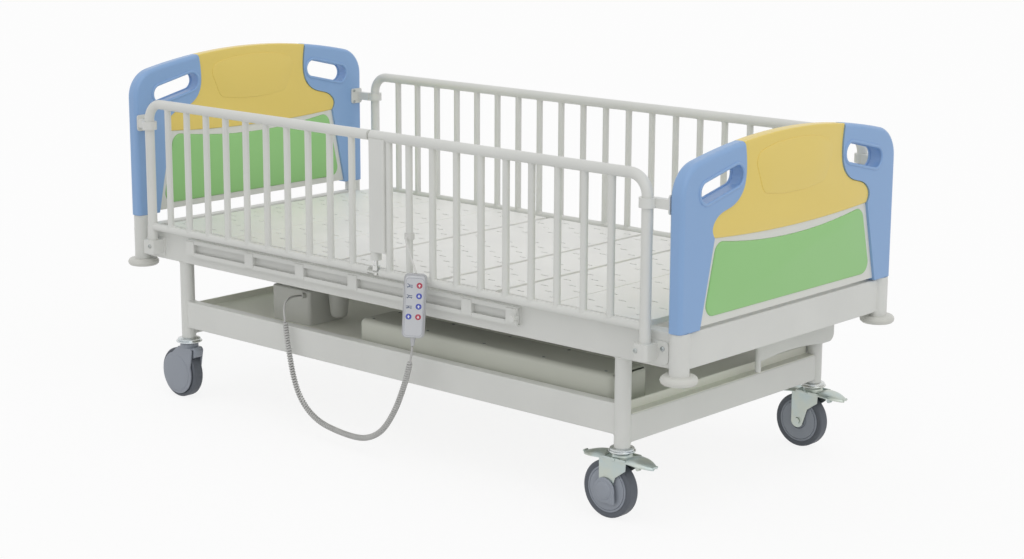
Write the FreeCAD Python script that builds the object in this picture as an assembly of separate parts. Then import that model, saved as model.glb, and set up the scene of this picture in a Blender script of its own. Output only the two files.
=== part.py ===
"""Children's hospital cot: welded frame, profiling deck, hinged side gates, boards and casters.

Millimetres. +X points to the foot end, -Y is the side that carries the gates, +Z is up.
The origin is on the floor under the middle of the cot.
"""
import FreeCAD, Part
import math
import os

from FreeCAD import Vector

os.makedirs("parts", exist_ok=True)

X = Vector(1, 0, 0)
Y = Vector(0, 1, 0)
Z = Vector(0, 0, 1)
ENDS = {"head": -1, "foot": 1}
SIDES = {"near": -1, "far": 1}

# ---------------------------------------------------------------- driving dimensions
SEAM = 0.3             # gap between neighbouring bodies
RUNNING_FIT = 0.1      # radial clearance of shafts and sliding rods
COT_HALF_LENGTH = 1018.0   # from the middle to the boards and the corner sockets
COT_HALF_WIDTH = 420.0     # from the middle to the side beams and the legs

# casters
WHEEL_R = 75.0
TYRE_WIDTH = 34.0
TREAD_DEPTH = 15.0     # tread between the hub and the rolling face
TRAIL = 34.0           # wheel axle behind the swivel axis
AXLE_R = 6.0
AXLE_HEAD_R = 9.0
AXLE_HEAD_HEIGHT = 4.0
STEM_R = 9.0
STEM_LENGTH = 60.0     # plug inside the leg
RACE_R = 27.0
RACE_HEIGHT = 15.0
RACE_CLEARANCE = 8.0   # from the wheel up to the race
FLANGE_HEIGHT = 14.0   # bright stepped flange between the race and the leg
FORK_PLATE = 3.0
FORK_SIDE_GAP = 4.0    # between the tyre and the fork's legs
FORK_END_R = 19.0
HOUSING_WALL = 4.0
HOUSING_SIDE_GAP = 2.0
HOUSING_DISC_R = 58.0
HOUSING_CLEARANCE = 2.0    # from the wheel up to the guard
PEDAL_THICKNESS = 3.0
PEDAL_OPENING_R = 30.0
PEDAL_EAR = 3.0
TRUNNION_R = 2.5

# legs and lower chassis
LEG_INSET = 184.0      # from the boards to the legs
LEG_R = 21.0
LEG_WALL = 2.5
LEG_LENGTH = 231.0
LOWER_SIDE_RISE = 113.0    # from the foot of the leg to the top of the side beam
LOWER_SIDE_HEIGHT = 80.0
LOWER_SIDE_WIDTH = 32.0
LOWER_END_RISE = 83.0
LOWER_END_HEIGHT = 72.0
LOWER_END_WIDTH = 30.0
TRAY_DEPTH = 24.0      # tray floor below the top of the side beams
TRAY_RIM_DROP = 6.0
TRAY_WALL = 3.0
TRAY_CORNER_R = 30.0

# upper frame
BEAM_HEIGHT = 90.0
SIDE_BEAM_WIDTH = 40.0
END_BEAM_INSET = 4.0   # end beams inside the middle plane of the boards
END_BEAM_WIDTH = 30.0
TUBE_WALL = 2.0
BEAM_EDGE_R = 4.0
SOCKET_OFFSET = 17.0   # corner sockets outside the side beams
SOCKET_R = 25.0
SOCKET_DROP = 8.0      # socket rim below the top of the beams
SOCKET_OVERHANG = 11.0 # socket foot below the beams
STUB_R = 19.0
STUB_RISE = 24.0       # foot of the boards' stubs above the foot of the sockets
SPIGOT_HEIGHT = 18.0
BUMPER_R = 46.5
BUMPER_HEIGHT = 22.0
CROSS_TUBE_HEIGHT = 40.0
CROSS_TUBE_WIDTH = 30.0
BACK_TUBE_X = 450.0    # cross tube that carries the back drive
LEG_TUBE_X = -450.0    # cross tube that carries the leg drive

# deck
DECK_OVERHANG = 10.0   # beyond the middle of the side beams
DECK_END_GAP = 103.0   # from the boards' middle plane to the deck
DECK_THICKNESS = 14.0
DECK_SHEET = 3.0
BACK_HINGE_X = -150.0
THIGH_HINGE_X = 227.0
KNEE_HINGE_X = 428.0
DECK_CORNER_R = 40.0
BARREL_R = 6.0
HINGE_PIN_R = 3.0
HINGE_GAP = 9.0        # from the hinge axis to the edge of each plate
BARREL_END_GAP = 8.0   # from the side beams to the ends of the hinges
RUNNER_SIZE = 25.0
RUNNER_INSET = 120.0   # runners inside the side beams
CALF_RUNNER_STEP = 32.0    # calf runners inside the thigh runners
SLOT_LENGTH = 26.0
SLOT_WIDTH = 5.0
SLOT_PITCH = 92.0
SLOT_EDGE = 16.0       # least distance from a slot to the deck's edge
GROOVE_WIDTH = 4.0
GROOVE_DEPTH = 1.5

# actuators and their levers
ROD_R = 10.0
LEVER_PIN_R = 5.0
LEVER_PLATE = 6.0
LEVER_GAP = 26.0       # between the two plates of a lever
BACK_ACTUATOR_Y = 120.0
BACK_ROD_DROP = 103.0  # rod below the top of the beams
BACK_SWING = 70.0
LEG_ACTUATOR_Y = -250.0
LEG_ROD_DROP = 108.0
THIGH_SWING = 40.0
MOTOR_R = 30.0
MOTOR_CLEARANCE = 20.0 # from the tray up to the motors
GEARCASE_LENGTH = 70.0
OUTER_TUBE_R = 16.0
BACK_TUBE_LENGTH = 285.0
LEG_TUBE_LENGTH = 385.0
BACK_ROD_LENGTH = 340.0
LEG_ROD_LENGTH = 300.0
BRACKET_PLATE = 5.0
BRACKET_GAP = 18.0
BACK_EYE_X = 408.0
LEG_EYE_X = -408.0
EYE_PIN_R = 5.0

# hood and power unit in the tray
COVER_X0 = -130.0
COVER_LEG_GAP = 54.0   # from the foot end of the hood to the legs
COVER_INSET = 26.0     # hood inside the legs' middle plane
COVER_WIDTH = 145.0
COVER_HEIGHT = 79.0
COVER_EDGE_R = 22.0
CONTROL_X0 = -556.0
CONTROL_X1 = -396.0
CONTROL_INSET = 88.0
CONTROL_WIDTH = 136.0
CONTROL_HEIGHT = 102.0
GLAND_X = -415.0
GLAND_REACH = 14.3
GLAND_DROP = 12.0
GLAND_R = 8.0

# side rails
RAIL_OFFSET = 44.0     # rails outside the side beams
POST_INSET = 84.0      # from the boards' middle plane to the rail posts
POST_R = 14.0
POST_RISE = 23.5       # foot of the posts above the bottom of the beams
TOP_TUBE_RISE = 378.0  # above the top of the beams
BOTTOM_TUBE_RISE = 10.0
BOTTOM_TUBE_R = 11.0
BAR_R = 9.5
RAIL_BEND_R = 52.0
HEAD_BAR_START = 86.0  # from the post to the first bar
HEAD_BAR_LAST = -74.0
HEAD_BAR_COUNT = 10
FOOT_BAR_FIRST = 142.0
FOOT_BAR_END = 108.0   # from the last bar to the post
FOOT_BAR_COUNT = 9
FAR_BAR_END = 108.0
FAR_BAR_COUNT = 20
GATE_SPLIT = 4.0       # half of the gap between the two gates' top tubes
LATCH_X = 16.0
LATCH_R = 6.0
LATCH_COLLAR_R = 10.5
LATCH_COLLAR_HEIGHT = 12.0
LATCH_COLLAR_RISE = 5.0    # above the middle of the bottom tube
LATCH_LIFT = 15.0
LATCH_BORE = 90.0      # depth of the bolt's bore in the stile
STILE_X0 = 5.0
STILE_WIDTH = 56.0
STILE_DEPTH = 26.0
STILE_TUBE_X = 68.0
STILE_RISE = 57.0      # above the bottom tube
SLEEVE_RISE = 33.0
SLEEVE_R = 15.0
COLLAR_DROP = 66.0     # keepers below the top tube
COLLAR_HEIGHT = 24.0
CUP_HALF = 22.0
CUP_DROP = 30.0        # cup rim below the top of the beams
CUP_FIT = 0.2

# boards
BOARD_OVERHANG = 26.0  # beyond the corner sockets' middle
BOARD_THICKNESS = 40.0
BOARD_CORNER_R = 85.0
BOARD_ARCH_R = 1878.0
BOARD_EDGE_R = 12.0
FOOTBOARD_GAP = 12.0   # above the sockets
FOOTBOARD_HEIGHT = 450.0
HEADBOARD_GAP = 40.0
HEADBOARD_HEIGHT = 478.0
CORE_RECESS = 7.0      # each face below the coloured legs
PANEL_RECESS = 3.0
HAND_HOLE_R = 28.0

# accessory rail on the near side beam
ACCESSORY_POST_GAP = 144.0     # from the head post to its head end
ACCESSORY_END = 515.0
ACCESSORY_DROP = 61.0          # lower edge below the top of the beams
ACCESSORY_HEIGHT = 49.0
ACCESSORY_DEPTH = 15.0
ACCESSORY_PITCH = 213.0
ACCESSORY_BLOCK_LAST = 339.0
ACCESSORY_BLOCK_HALF = 18.0

# cross plate and drop rod under the foot end
FOOT_PLATE_OFFSET = 39.0       # beyond the legs
FOOT_PLATE_DROP = 108.0
FOOT_PLATE_INNER = 92.0
FOOT_PLATE_THICKNESS = 5.0
DROP_ROD_R = 8.0
DROP_ROD_REACH = 22.0

# handset and its curly cord
HANDSET_X = 204.0
HANDSET_OFFSET = 46.0  # outside the gate
HANDSET_DROP = 47.0    # its middle below the top of the beams
HANDSET_LENGTH = 172.0
HANDSET_WIDTH = 60.0
HANDSET_DEPTH = 28.0
HANDSET_TURN = 40.0    # the keys face away from the gate, turned towards the foot end
HANDSET_LEAN = 3.0
SHELL_SPLIT = 2.0
BUTTON_R = 5.5
BUTTON_TRAVEL = 1.5
BUTTONS = {"button_top": (12, 58), "button_upper": (12, 30), "button_lower": (12, 2),
           "button_bottom": (12, -26), "button_left": (-13, -26)}
CLIP_RISE = 124.0      # strap clip above the top of the beams
COIL_R = 8.5
LEAD_R = 3.0
COIL_ROUTE = [(-363, -456, 319), (-356, -456, 271), (-344, -457, 217), (-328, -458, 156),
              (-303, -459, 108), (-264, -460, 72), (-213, -462, 50), (-142, -465, 41),
              (-71, -468, 39), (-20, -471, 47), (30, -474, 71), (68, -478, 107),
              (105, -482, 159), (132, -486, 210), (156, -491, 258), (175, -498, 304)]
BOX_LEAD_ROUTE = [(-415, -346.3, 366), (-413, -375, 370), (-402, -408, 370), (-386, -437, 360),
                  (-366.5, -456, 343), (-363.05, -456, 319.3)]
HANDSET_LEAD_ROUTE = [(175.1, -498.1, 304.3), (181, -500.4, 319), (188, -504.5, 334),
                      (193.9, -508.8, 350.5)]

# ---------------------------------------------------------------- derived values
# heights, from the floor up
RACE_BOTTOM = 2 * WHEEL_R + RACE_CLEARANCE
RACE_TOP = RACE_BOTTOM + RACE_HEIGHT
TRUNNION_Z = RACE_BOTTOM + 4
PEDAL_Z = RACE_BOTTOM + 8
LEG_BOTTOM = RACE_TOP + FLANGE_HEIGHT
LOWER_SIDE_TOP = LEG_BOTTOM + LOWER_SIDE_RISE
LOWER_END_TOP = LEG_BOTTOM + LOWER_END_RISE
TRAY_FLOOR = LOWER_SIDE_TOP - TRAY_DEPTH
COVER_TOP = TRAY_FLOOR + COVER_HEIGHT
CONTROL_TOP = TRAY_FLOOR + CONTROL_HEIGHT
MOTOR_BOTTOM = TRAY_FLOOR + MOTOR_CLEARANCE
BEAM_BOTTOM = LEG_BOTTOM + LEG_LENGTH
BEAM_TOP = BEAM_BOTTOM + BEAM_HEIGHT
SOCKET_TOP = BEAM_TOP - SOCKET_DROP
SOCKET_BOTTOM = BEAM_BOTTOM - SOCKET_OVERHANG
DECK_BOTTOM = BEAM_TOP + SEAM
DECK_TOP = DECK_BOTTOM + DECK_THICKNESS
SHEET_BOTTOM = DECK_TOP - DECK_SHEET
CROSS_TUBE_TOP = DECK_BOTTOM - RUNNER_SIZE - SEAM
CROSS_TUBE_BOTTOM = CROSS_TUBE_TOP - CROSS_TUBE_HEIGHT
HINGE_Z = DECK_BOTTOM + BARREL_R
BACK_ROD_Z = BEAM_TOP - BACK_ROD_DROP
LEG_ROD_Z = BEAM_TOP - LEG_ROD_DROP
FOOTBOARD_BOTTOM = SOCKET_TOP + FOOTBOARD_GAP
FOOTBOARD_PEAK = FOOTBOARD_BOTTOM + FOOTBOARD_HEIGHT
HEADBOARD_BOTTOM = SOCKET_TOP + HEADBOARD_GAP
HEADBOARD_PEAK = HEADBOARD_BOTTOM + HEADBOARD_HEIGHT
TOP_TUBE_Z = BEAM_TOP + TOP_TUBE_RISE
BOTTOM_TUBE_Z = BEAM_TOP + BOTTOM_TUBE_RISE
POST_BOTTOM = BEAM_BOTTOM + POST_RISE
STILE_BOTTOM = BOTTOM_TUBE_Z + STILE_RISE
SLEEVE_BOTTOM = BOTTOM_TUBE_Z + SLEEVE_RISE
COLLAR_Z = TOP_TUBE_Z - COLLAR_DROP
CUP_BOTTOM = POST_BOTTOM - SEAM - 4
CUP_TOP = BEAM_TOP - CUP_DROP
ACCESSORY_BOTTOM = BEAM_TOP - ACCESSORY_DROP
FOOT_PLATE_BOTTOM = BEAM_BOTTOM - FOOT_PLATE_DROP
DROP_ROD_BOTTOM = FOOT_PLATE_BOTTOM - DROP_ROD_REACH

# along the cot
SOCKET_X = COT_HALF_LENGTH
BOARD_X = COT_HALF_LENGTH
LEG_X = COT_HALF_LENGTH - LEG_INSET
END_BEAM_X = COT_HALF_LENGTH - END_BEAM_INSET
SIDE_BEAM_END = END_BEAM_X - END_BEAM_WIDTH / 2
DECK_FOOT_X = COT_HALF_LENGTH - DECK_END_GAP
DECK_HEAD_X = -DECK_FOOT_X
POST_X = COT_HALF_LENGTH - POST_INSET
COVER_X1 = LEG_X - COVER_LEG_GAP
CROSS_TUBES = [134 - LEG_X, LEG_TUBE_X, 40.0, BACK_TUBE_X, LEG_X - 34]
ACCESSORY_START = ACCESSORY_POST_GAP - POST_X
ACCESSORY_BLOCKS = [ACCESSORY_START + 16, ACCESSORY_END - 21]
ACCESSORY_BLOCKS += [ACCESSORY_BLOCK_LAST - step * ACCESSORY_PITCH for step in range(5)]
FOOT_PLATE_X = LEG_X + FOOT_PLATE_OFFSET

# across the cot
SIDE_BEAM_Y = COT_HALF_WIDTH
LEG_Y = COT_HALF_WIDTH
SIDE_BEAM_INNER = SIDE_BEAM_Y - SIDE_BEAM_WIDTH / 2
NEAR_BEAM_FACE = -(SIDE_BEAM_Y + SIDE_BEAM_WIDTH / 2)
SOCKET_Y = COT_HALF_WIDTH + SOCKET_OFFSET
RAIL_Y = COT_HALF_WIDTH + RAIL_OFFSET
DECK_HALF_WIDTH = COT_HALF_WIDTH + DECK_OVERHANG
BOARD_HALF_WIDTH = SOCKET_Y + BOARD_OVERHANG
CORE_THICKNESS = BOARD_THICKNESS - 2 * CORE_RECESS
PANEL_THICKNESS = BOARD_THICKNESS - 2 * PANEL_RECESS
RUNNER_Y = COT_HALF_WIDTH - RUNNER_INSET
CALF_RUNNER_Y = RUNNER_Y - CALF_RUNNER_STEP
COVER_Y0 = COVER_INSET - LEG_Y
COVER_Y1 = COVER_Y0 + COVER_WIDTH
CONTROL_Y0 = CONTROL_INSET - LEG_Y
CONTROL_Y1 = CONTROL_Y0 + CONTROL_WIDTH
FOOT_PLATE_END = LEG_Y + 26
HANDSET_CENTRE = Vector(HANDSET_X, -(RAIL_Y + HANDSET_OFFSET), BEAM_TOP - HANDSET_DROP)


# ---------------------------------------------------------------- small helpers
def save(node, shapes):
    """Write one node; several shapes become separate solids of the same node."""
    if not isinstance(shapes, list):
        shapes = [shapes]
    solids = []
    for shape in shapes:
        solids.extend(shape.Solids)
    result = solids[0] if len(solids) == 1 else Part.makeCompound(solids)
    result.exportStep("parts/%s.step" % node)


def box(x0, x1, y0, y1, z0, z1):
    return Part.makeBox(x1 - x0, y1 - y0, z1 - z0, Vector(x0, y0, z0))


def cylinder(radius, start, end):
    start = Vector(*start)
    axis = Vector(*end) - start
    return Part.makeCylinder(radius, axis.Length, start, axis)


def tube(radius, bore, start, end):
    return cylinder(radius, start, end).cut(cylinder(bore, start, end))


def fused(shapes):
    return shapes[0].fuse(shapes[1:]).removeSplitter()


def rounded(shape, radius, pick):
    """Fillet the edges for which pick(edge) is true."""
    edges = [edge for edge in shape.Edges if pick(edge)]
    return shape.makeFillet(radius, edges)


def along(direction):
    """Edge test: a straight edge that runs along the given axis."""
    def test(edge):
        if edge.Curve.TypeId != "Part::GeomLine":
            return False
        return abs(abs(edge.tangentAt(edge.FirstParameter).dot(direction)) - 1) < 1e-6
    return test


def extruded(wire, vector):
    return Part.Face(wire).extrude(vector)


def polygon(points):
    vectors = [Vector(*point) for point in points]
    return Part.makePolygon(vectors + [vectors[0]])


def revolved(profile, centre, axis):
    """Turn a closed outline of (radius, height) points about an axis through centre."""
    radial = Vector(1, 0, 0) if abs(axis.x) < 0.9 else Vector(0, 1, 0)
    points = [centre + radial * radius + axis * height for radius, height in profile]
    face = Part.Face(Part.makePolygon(points + [points[0]]))
    return face.revolve(centre, axis, 360)


def mirrored(shape, normal):
    return shape.mirror(Vector(0, 0, 0), normal)


def evenly(start, end, count):
    """count places from start to end, both included."""
    step = (end - start) / (count - 1)
    return [start + index * step for index in range(count)]


def turned(shape, centre, axis, degrees):
    copy = shape.copy()
    copy.rotate(centre, axis, degrees)
    return copy


def rail_tube(points, bends, radius):
    """Round tube along straight runs whose corners are bent to the given radii."""
    points = [Vector(*point) for point in points]
    edges = []
    start = points[0]
    for before, corner, after, bend in zip(points, points[1:], points[2:], bends):
        into = (corner - before).normalize()
        out = (after - corner).normalize()
        half_turn = into.getAngle(out) / 2
        setback = bend * math.tan(half_turn)
        arc_start = corner - into * setback
        arc_end = corner + out * setback
        inward = (out - into).normalize()
        middle = corner + inward * (bend / math.cos(half_turn) - bend)
        edges.append(Part.LineSegment(start, arc_start).toShape())
        edges.append(Part.Arc(arc_start, middle, arc_end).toShape())
        start = arc_end
    edges.append(Part.LineSegment(start, points[-1]).toShape())
    path = Part.Wire(edges)
    heading = (points[1] - points[0]).normalize()
    section = Part.Wire(Part.makeCircle(radius, points[0], heading))
    return path.makePipeShell([section], True, True), path.Length


def cord_bends(points):
    """Bend radius at each inner point: 0.45 of the shorter run over the tangent of half the turn."""
    radii = []
    for before, corner, after in zip(points, points[1:], points[2:]):
        into = Vector(*corner) - Vector(*before)
        out = Vector(*after) - Vector(*corner)
        half_turn = into.getAngle(out) / 2
        radii.append(0.45 * min(into.Length, out.Length) / math.tan(half_turn))
    return radii


def cord_tube(name, points, radius):
    bends = cord_bends(points)
    solid, length = rail_tube(points, bends, radius)
    section = math.pi * radius * radius
    print("%s: smallest bend %.0f mm, length %.0f mm, volume over section times length %.4f"
          % (name, min(bends), length, solid.Volume / (section * length)))
    return solid


# ---------------------------------------------------------------- legs and lower chassis
def leg_cylinder(side_x, side_y, radius):
    return cylinder(radius, (side_x * LEG_X, side_y * LEG_Y, LEG_BOTTOM),
                    (side_x * LEG_X, side_y * LEG_Y, BEAM_BOTTOM))


def corners():
    return [(x, y) for x in (-1, 1) for y in (-1, 1)]


def chassis_legs():
    return [leg_cylinder(x, y, LEG_R).cut(leg_cylinder(x, y, LEG_R - LEG_WALL)) for x, y in corners()]


def hollow_beam(x0, x1, y0, y1, z0, z1, run):
    """Rectangular steel tube with open ends along the run axis (0 for X, 1 for Y)."""
    outer = rounded(box(x0, x1, y0, y1, z0, z1), BEAM_EDGE_R, along(X if run == 0 else Y))
    low = [x0, y0, z0]
    high = [x1, y1, z1]
    for axis in range(3):
        if axis != run:
            low[axis] += TUBE_WALL
            high[axis] -= TUBE_WALL
    return outer.cut(box(low[0], high[0], low[1], high[1], low[2], high[2]))


def lower_side_beams():
    beams = []
    for y in (-1, 1):
        beam = hollow_beam(-LEG_X, LEG_X, y * LEG_Y - LOWER_SIDE_WIDTH / 2, y * LEG_Y + LOWER_SIDE_WIDTH / 2,
                           LOWER_SIDE_TOP - LOWER_SIDE_HEIGHT, LOWER_SIDE_TOP, 0)
        beams.append(beam.cut([leg_cylinder(x, y, LEG_R) for x in (-1, 1)]))
    return beams


def lower_end_beams():
    beams = []
    half = LEG_Y - LOWER_SIDE_WIDTH / 2
    for x in (-1, 1):
        beam = hollow_beam(x * LEG_X - LOWER_END_WIDTH / 2, x * LEG_X + LOWER_END_WIDTH / 2, -half, half,
                           LOWER_END_TOP - LOWER_END_HEIGHT, LOWER_END_TOP, 1)
        beams.append(beam.cut([leg_cylinder(x, y, LEG_R) for y in (-1, 1)]))
    return beams


def base_tray():
    """Moulded pan that closes the bottom of the chassis, with an upstanding rim."""
    half_x = LEG_X - LOWER_END_WIDTH / 2 - SEAM
    half_y = LEG_Y - LOWER_SIDE_WIDTH / 2 - SEAM
    rim_top = LOWER_SIDE_TOP - TRAY_RIM_DROP
    outer = box(-half_x, half_x, -half_y, half_y, TRAY_FLOOR - TRAY_WALL, rim_top)
    outer = rounded(outer, TRAY_CORNER_R, along(Z))
    inner = box(-half_x + TRAY_WALL, half_x - TRAY_WALL, -half_y + TRAY_WALL, half_y - TRAY_WALL,
                TRAY_FLOOR, rim_top + 1)
    inner = rounded(inner, TRAY_CORNER_R - TRAY_WALL, along(Z))
    legs = [leg_cylinder(x, y, LEG_R + SEAM) for x, y in corners()]
    return outer.cut([inner] + legs)


def base_cover():
    """Long moulded hood that stands in the tray beside the gates, open underneath."""
    z0 = TRAY_FLOOR + SEAM
    outer = box(COVER_X0, COVER_X1, COVER_Y0, COVER_Y1, z0, COVER_TOP)
    outer = rounded(outer, COVER_EDGE_R, along(Z))
    outer = rounded(outer, COVER_EDGE_R * 0.7, lambda edge: min(v.Z for v in edge.Vertexes) > COVER_TOP - 1)
    wall = TRAY_WALL
    inner = box(COVER_X0 + wall, COVER_X1 - wall, COVER_Y0 + wall, COVER_Y1 - wall, z0, COVER_TOP - wall)
    inner = rounded(inner, COVER_EDGE_R - wall, along(Z))
    inner = inner.common(box(COVER_X0, COVER_X1, COVER_Y0 + 12, COVER_Y1 - 12, z0, COVER_TOP))
    return outer.cut(inner)


def control_box():
    """Power unit with the handset's cord gland on its near face."""
    case = box(CONTROL_X0, CONTROL_X1, CONTROL_Y0, CONTROL_Y1, TRAY_FLOOR + SEAM, CONTROL_TOP)
    case = rounded(case, 10, along(Z))
    case = rounded(case, 6, lambda edge: min(v.Z for v in edge.Vertexes) > CONTROL_TOP - 1)
    heading = (Vector(*BOX_LEAD_ROUTE[1]) - Vector(*BOX_LEAD_ROUTE[0])).normalize()
    face = Vector(GLAND_X, CONTROL_Y0 - GLAND_REACH, CONTROL_TOP - GLAND_DROP) - heading * SEAM
    gland = Part.makeCylinder(GLAND_R, GLAND_REACH + 5.7, face, heading * -1)
    return fused([case, gland])


# ---------------------------------------------------------------- upper frame
def socket_cylinder(x, y, radius, z0=SOCKET_BOTTOM, z1=SOCKET_TOP):
    return cylinder(radius, (x * SOCKET_X, y * SOCKET_Y, z0), (x * SOCKET_X, y * SOCKET_Y, z1))


def corner_sockets():
    return [socket_cylinder(x, y, SOCKET_R).cut(socket_cylinder(x, y, STUB_R + SEAM)) for x, y in corners()]


def corner_bumpers():
    """Soft white discs under the sockets, each with a spigot that plugs into the socket."""
    rim = BUMPER_HEIGHT / 2
    bumpers = []
    for x, y in corners():
        centre = Vector(x * SOCKET_X, y * SOCKET_Y, SOCKET_BOTTOM - BUMPER_HEIGHT)
        profile = [(0, 0), (BUMPER_R - rim, 0)]
        for step in range(1, 6):
            turn = math.pi * step / 6
            profile.append((BUMPER_R - rim + rim * math.sin(turn), rim - rim * math.cos(turn)))
        profile += [(BUMPER_R - rim, BUMPER_HEIGHT), (STUB_R, BUMPER_HEIGHT),
                    (STUB_R, BUMPER_HEIGHT + SPIGOT_HEIGHT), (0, BUMPER_HEIGHT + SPIGOT_HEIGHT)]
        bumpers.append(revolved(profile, centre, Z))
    return bumpers


def upper_side_beams():
    beams = []
    for y in (-1, 1):
        beam = hollow_beam(-SIDE_BEAM_END, SIDE_BEAM_END, y * SIDE_BEAM_Y - SIDE_BEAM_WIDTH / 2,
                           y * SIDE_BEAM_Y + SIDE_BEAM_WIDTH / 2, BEAM_BOTTOM, BEAM_TOP, 0)
        ends = [socket_cylinder(x, y, SOCKET_R, BEAM_BOTTOM - 1, BEAM_TOP + 1) for x in (-1, 1)]
        beams.append(beam.cut(ends))
    return beams


def upper_end_beams():
    beams = []
    for x in (-1, 1):
        beam = hollow_beam(x * END_BEAM_X - END_BEAM_WIDTH / 2, x * END_BEAM_X + END_BEAM_WIDTH / 2,
                           -SOCKET_Y + 10, SOCKET_Y - 10, BEAM_BOTTOM, BEAM_TOP, 1)
        ends = [socket_cylinder(x, y, SOCKET_R, BEAM_BOTTOM - 1, BEAM_TOP + 1) for y in (-1, 1)]
        beams.append(beam.cut(ends))
    return beams


def foot_cross_plate():
    """Pressed plate that hangs under the far half of the foot end, with a drop rod at its inner end."""
    x = FOOT_PLATE_X
    low = FOOT_PLATE_BOTTOM
    beam_y = SIDE_BEAM_INNER - SEAM
    corner_r = 22
    y_end = FOOT_PLATE_END
    flat_start = y_end - 56
    arch_middle = y_end - 196
    diagonal = corner_r * (1 - math.sqrt(0.5))
    arch = Part.Arc(Vector(x, FOOT_PLATE_INNER, low + 3), Vector(x, arch_middle, low + 11),
                    Vector(x, flat_start, low))
    corner = Part.Arc(Vector(x, y_end - corner_r, low), Vector(x, y_end - diagonal, low + diagonal),
                      Vector(x, y_end, low + corner_r))
    edges = [Part.LineSegment(Vector(x, FOOT_PLATE_INNER, CROSS_TUBE_BOTTOM),
                              Vector(x, FOOT_PLATE_INNER, low + 3)).toShape(),
             arch.toShape(),
             Part.LineSegment(Vector(x, flat_start, low), Vector(x, y_end - corner_r, low)).toShape(),
             corner.toShape()]
    outline = [(y_end, low + corner_r), (y_end, BEAM_BOTTOM), (beam_y, BEAM_BOTTOM),
               (beam_y, CROSS_TUBE_BOTTOM), (FOOT_PLATE_INNER, CROSS_TUBE_BOTTOM)]
    for (y0, z0), (y1, z1) in zip(outline, outline[1:]):
        edges.append(Part.LineSegment(Vector(x, y0, z0), Vector(x, y1, z1)).toShape())
    sheet = FOOT_PLATE_THICKNESS
    web = extruded(Part.Wire(edges), X * sheet)
    upper_flange = box(CROSS_TUBES[-1] - 12, x + sheet, FOOT_PLATE_INNER, beam_y, CROSS_TUBE_BOTTOM - sheet,
                       CROSS_TUBE_BOTTOM)
    beam_flange = box(x, x + 40, beam_y, y_end, BEAM_BOTTOM - sheet, BEAM_BOTTOM)
    rod_x = x + sheet / 2
    rod = cylinder(DROP_ROD_R, (rod_x, FOOT_PLATE_INNER, DROP_ROD_BOTTOM),
                   (rod_x, FOOT_PLATE_INNER, CROSS_TUBE_BOTTOM))
    return fused([web, upper_flange, beam_flange, rod])


def actuator_bracket(tube_x, eye_x, y, z):
    """Pair of hanging plates under a cross tube, bored for the actuator's rear pin."""
    plates = []
    towards = 1 if eye_x > tube_x else -1
    for side in (-1, 1):
        y0 = y + side * (BRACKET_GAP / 2 + BRACKET_PLATE / 2) - BRACKET_PLATE / 2
        half = towards * CROSS_TUBE_WIDTH / 2
        outline = polygon([(tube_x - half, y0, CROSS_TUBE_BOTTOM), (tube_x + half, y0, CROSS_TUBE_BOTTOM),
                           (eye_x + towards * 13, y0, z + 8), (eye_x + towards * 13, y0, z - 12),
                           (eye_x - towards * 10, y0, z - 12)])
        plate = extruded(outline, Y * BRACKET_PLATE)
        plates.append(plate.cut(cylinder(EYE_PIN_R + RUNNING_FIT, (eye_x, y0 - 1, z),
                                         (eye_x, y0 + BRACKET_PLATE + 1, z))))
    return plates


def deck_cross_tubes():
    tubes = []
    for x in CROSS_TUBES:
        bar = hollow_beam(x - CROSS_TUBE_WIDTH / 2, x + CROSS_TUBE_WIDTH / 2, -SIDE_BEAM_INNER,
                          SIDE_BEAM_INNER, CROSS_TUBE_BOTTOM, CROSS_TUBE_TOP, 1)
        if x == BACK_TUBE_X:
            bar = fused([bar] + actuator_bracket(x, BACK_EYE_X, BACK_ACTUATOR_Y, BACK_ROD_Z))
        if x == LEG_TUBE_X:
            bar = fused([bar] + actuator_bracket(x, LEG_EYE_X, LEG_ACTUATOR_Y, LEG_ROD_Z))
        tubes.append(bar)
    return tubes


# ---------------------------------------------------------------- deck
def slot_rows(rows):
    """Rows of short ventilation slots across the deck, every second row shifted by half a pitch."""
    cutters = []
    columns = int((DECK_HALF_WIDTH - SLOT_EDGE - SLOT_PITCH / 4) / SLOT_PITCH)
    for index, x in enumerate(rows):
        shift = SLOT_PITCH / 4 * (1 if index % 2 else -1)
        for column in range(-columns, columns + 1):
            y = column * SLOT_PITCH + shift
            cutters.append(box(x - SLOT_LENGTH / 2, x + SLOT_LENGTH / 2, y - SLOT_WIDTH / 2,
                               y + SLOT_WIDTH / 2, DECK_BOTTOM - 1, DECK_TOP + 1))
    return cutters


def deck_pan(x0, x1, rows, grooves, round_end=0):
    """Pressed deck plate: a thin sheet with folded edges, slots, and grooves between its planks."""
    outer = box(x0, x1, -DECK_HALF_WIDTH, DECK_HALF_WIDTH, DECK_BOTTOM, DECK_TOP)
    if round_end:
        end_x = x1 if round_end > 0 else x0
        outer = rounded(outer, DECK_CORNER_R,
                        lambda edge: along(Z)(edge) and abs(edge.Vertexes[0].X - end_x) < 1)
    wall = DECK_SHEET
    inset = DECK_CORNER_R * 0.3 + wall if round_end else wall
    low = x0 + (inset if round_end < 0 else wall)
    high = x1 - (inset if round_end > 0 else wall)
    inner = box(low, high, -DECK_HALF_WIDTH + wall, DECK_HALF_WIDTH - wall, DECK_BOTTOM, SHEET_BOTTOM)
    cutters = [inner] + slot_rows(rows)
    for x in grooves:
        cutters.append(box(x - GROOVE_WIDTH / 2, x + GROOVE_WIDTH / 2, -DECK_HALF_WIDTH, DECK_HALF_WIDTH,
                           DECK_TOP - GROOVE_DEPTH, DECK_TOP))
    return outer.cut(cutters)


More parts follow.
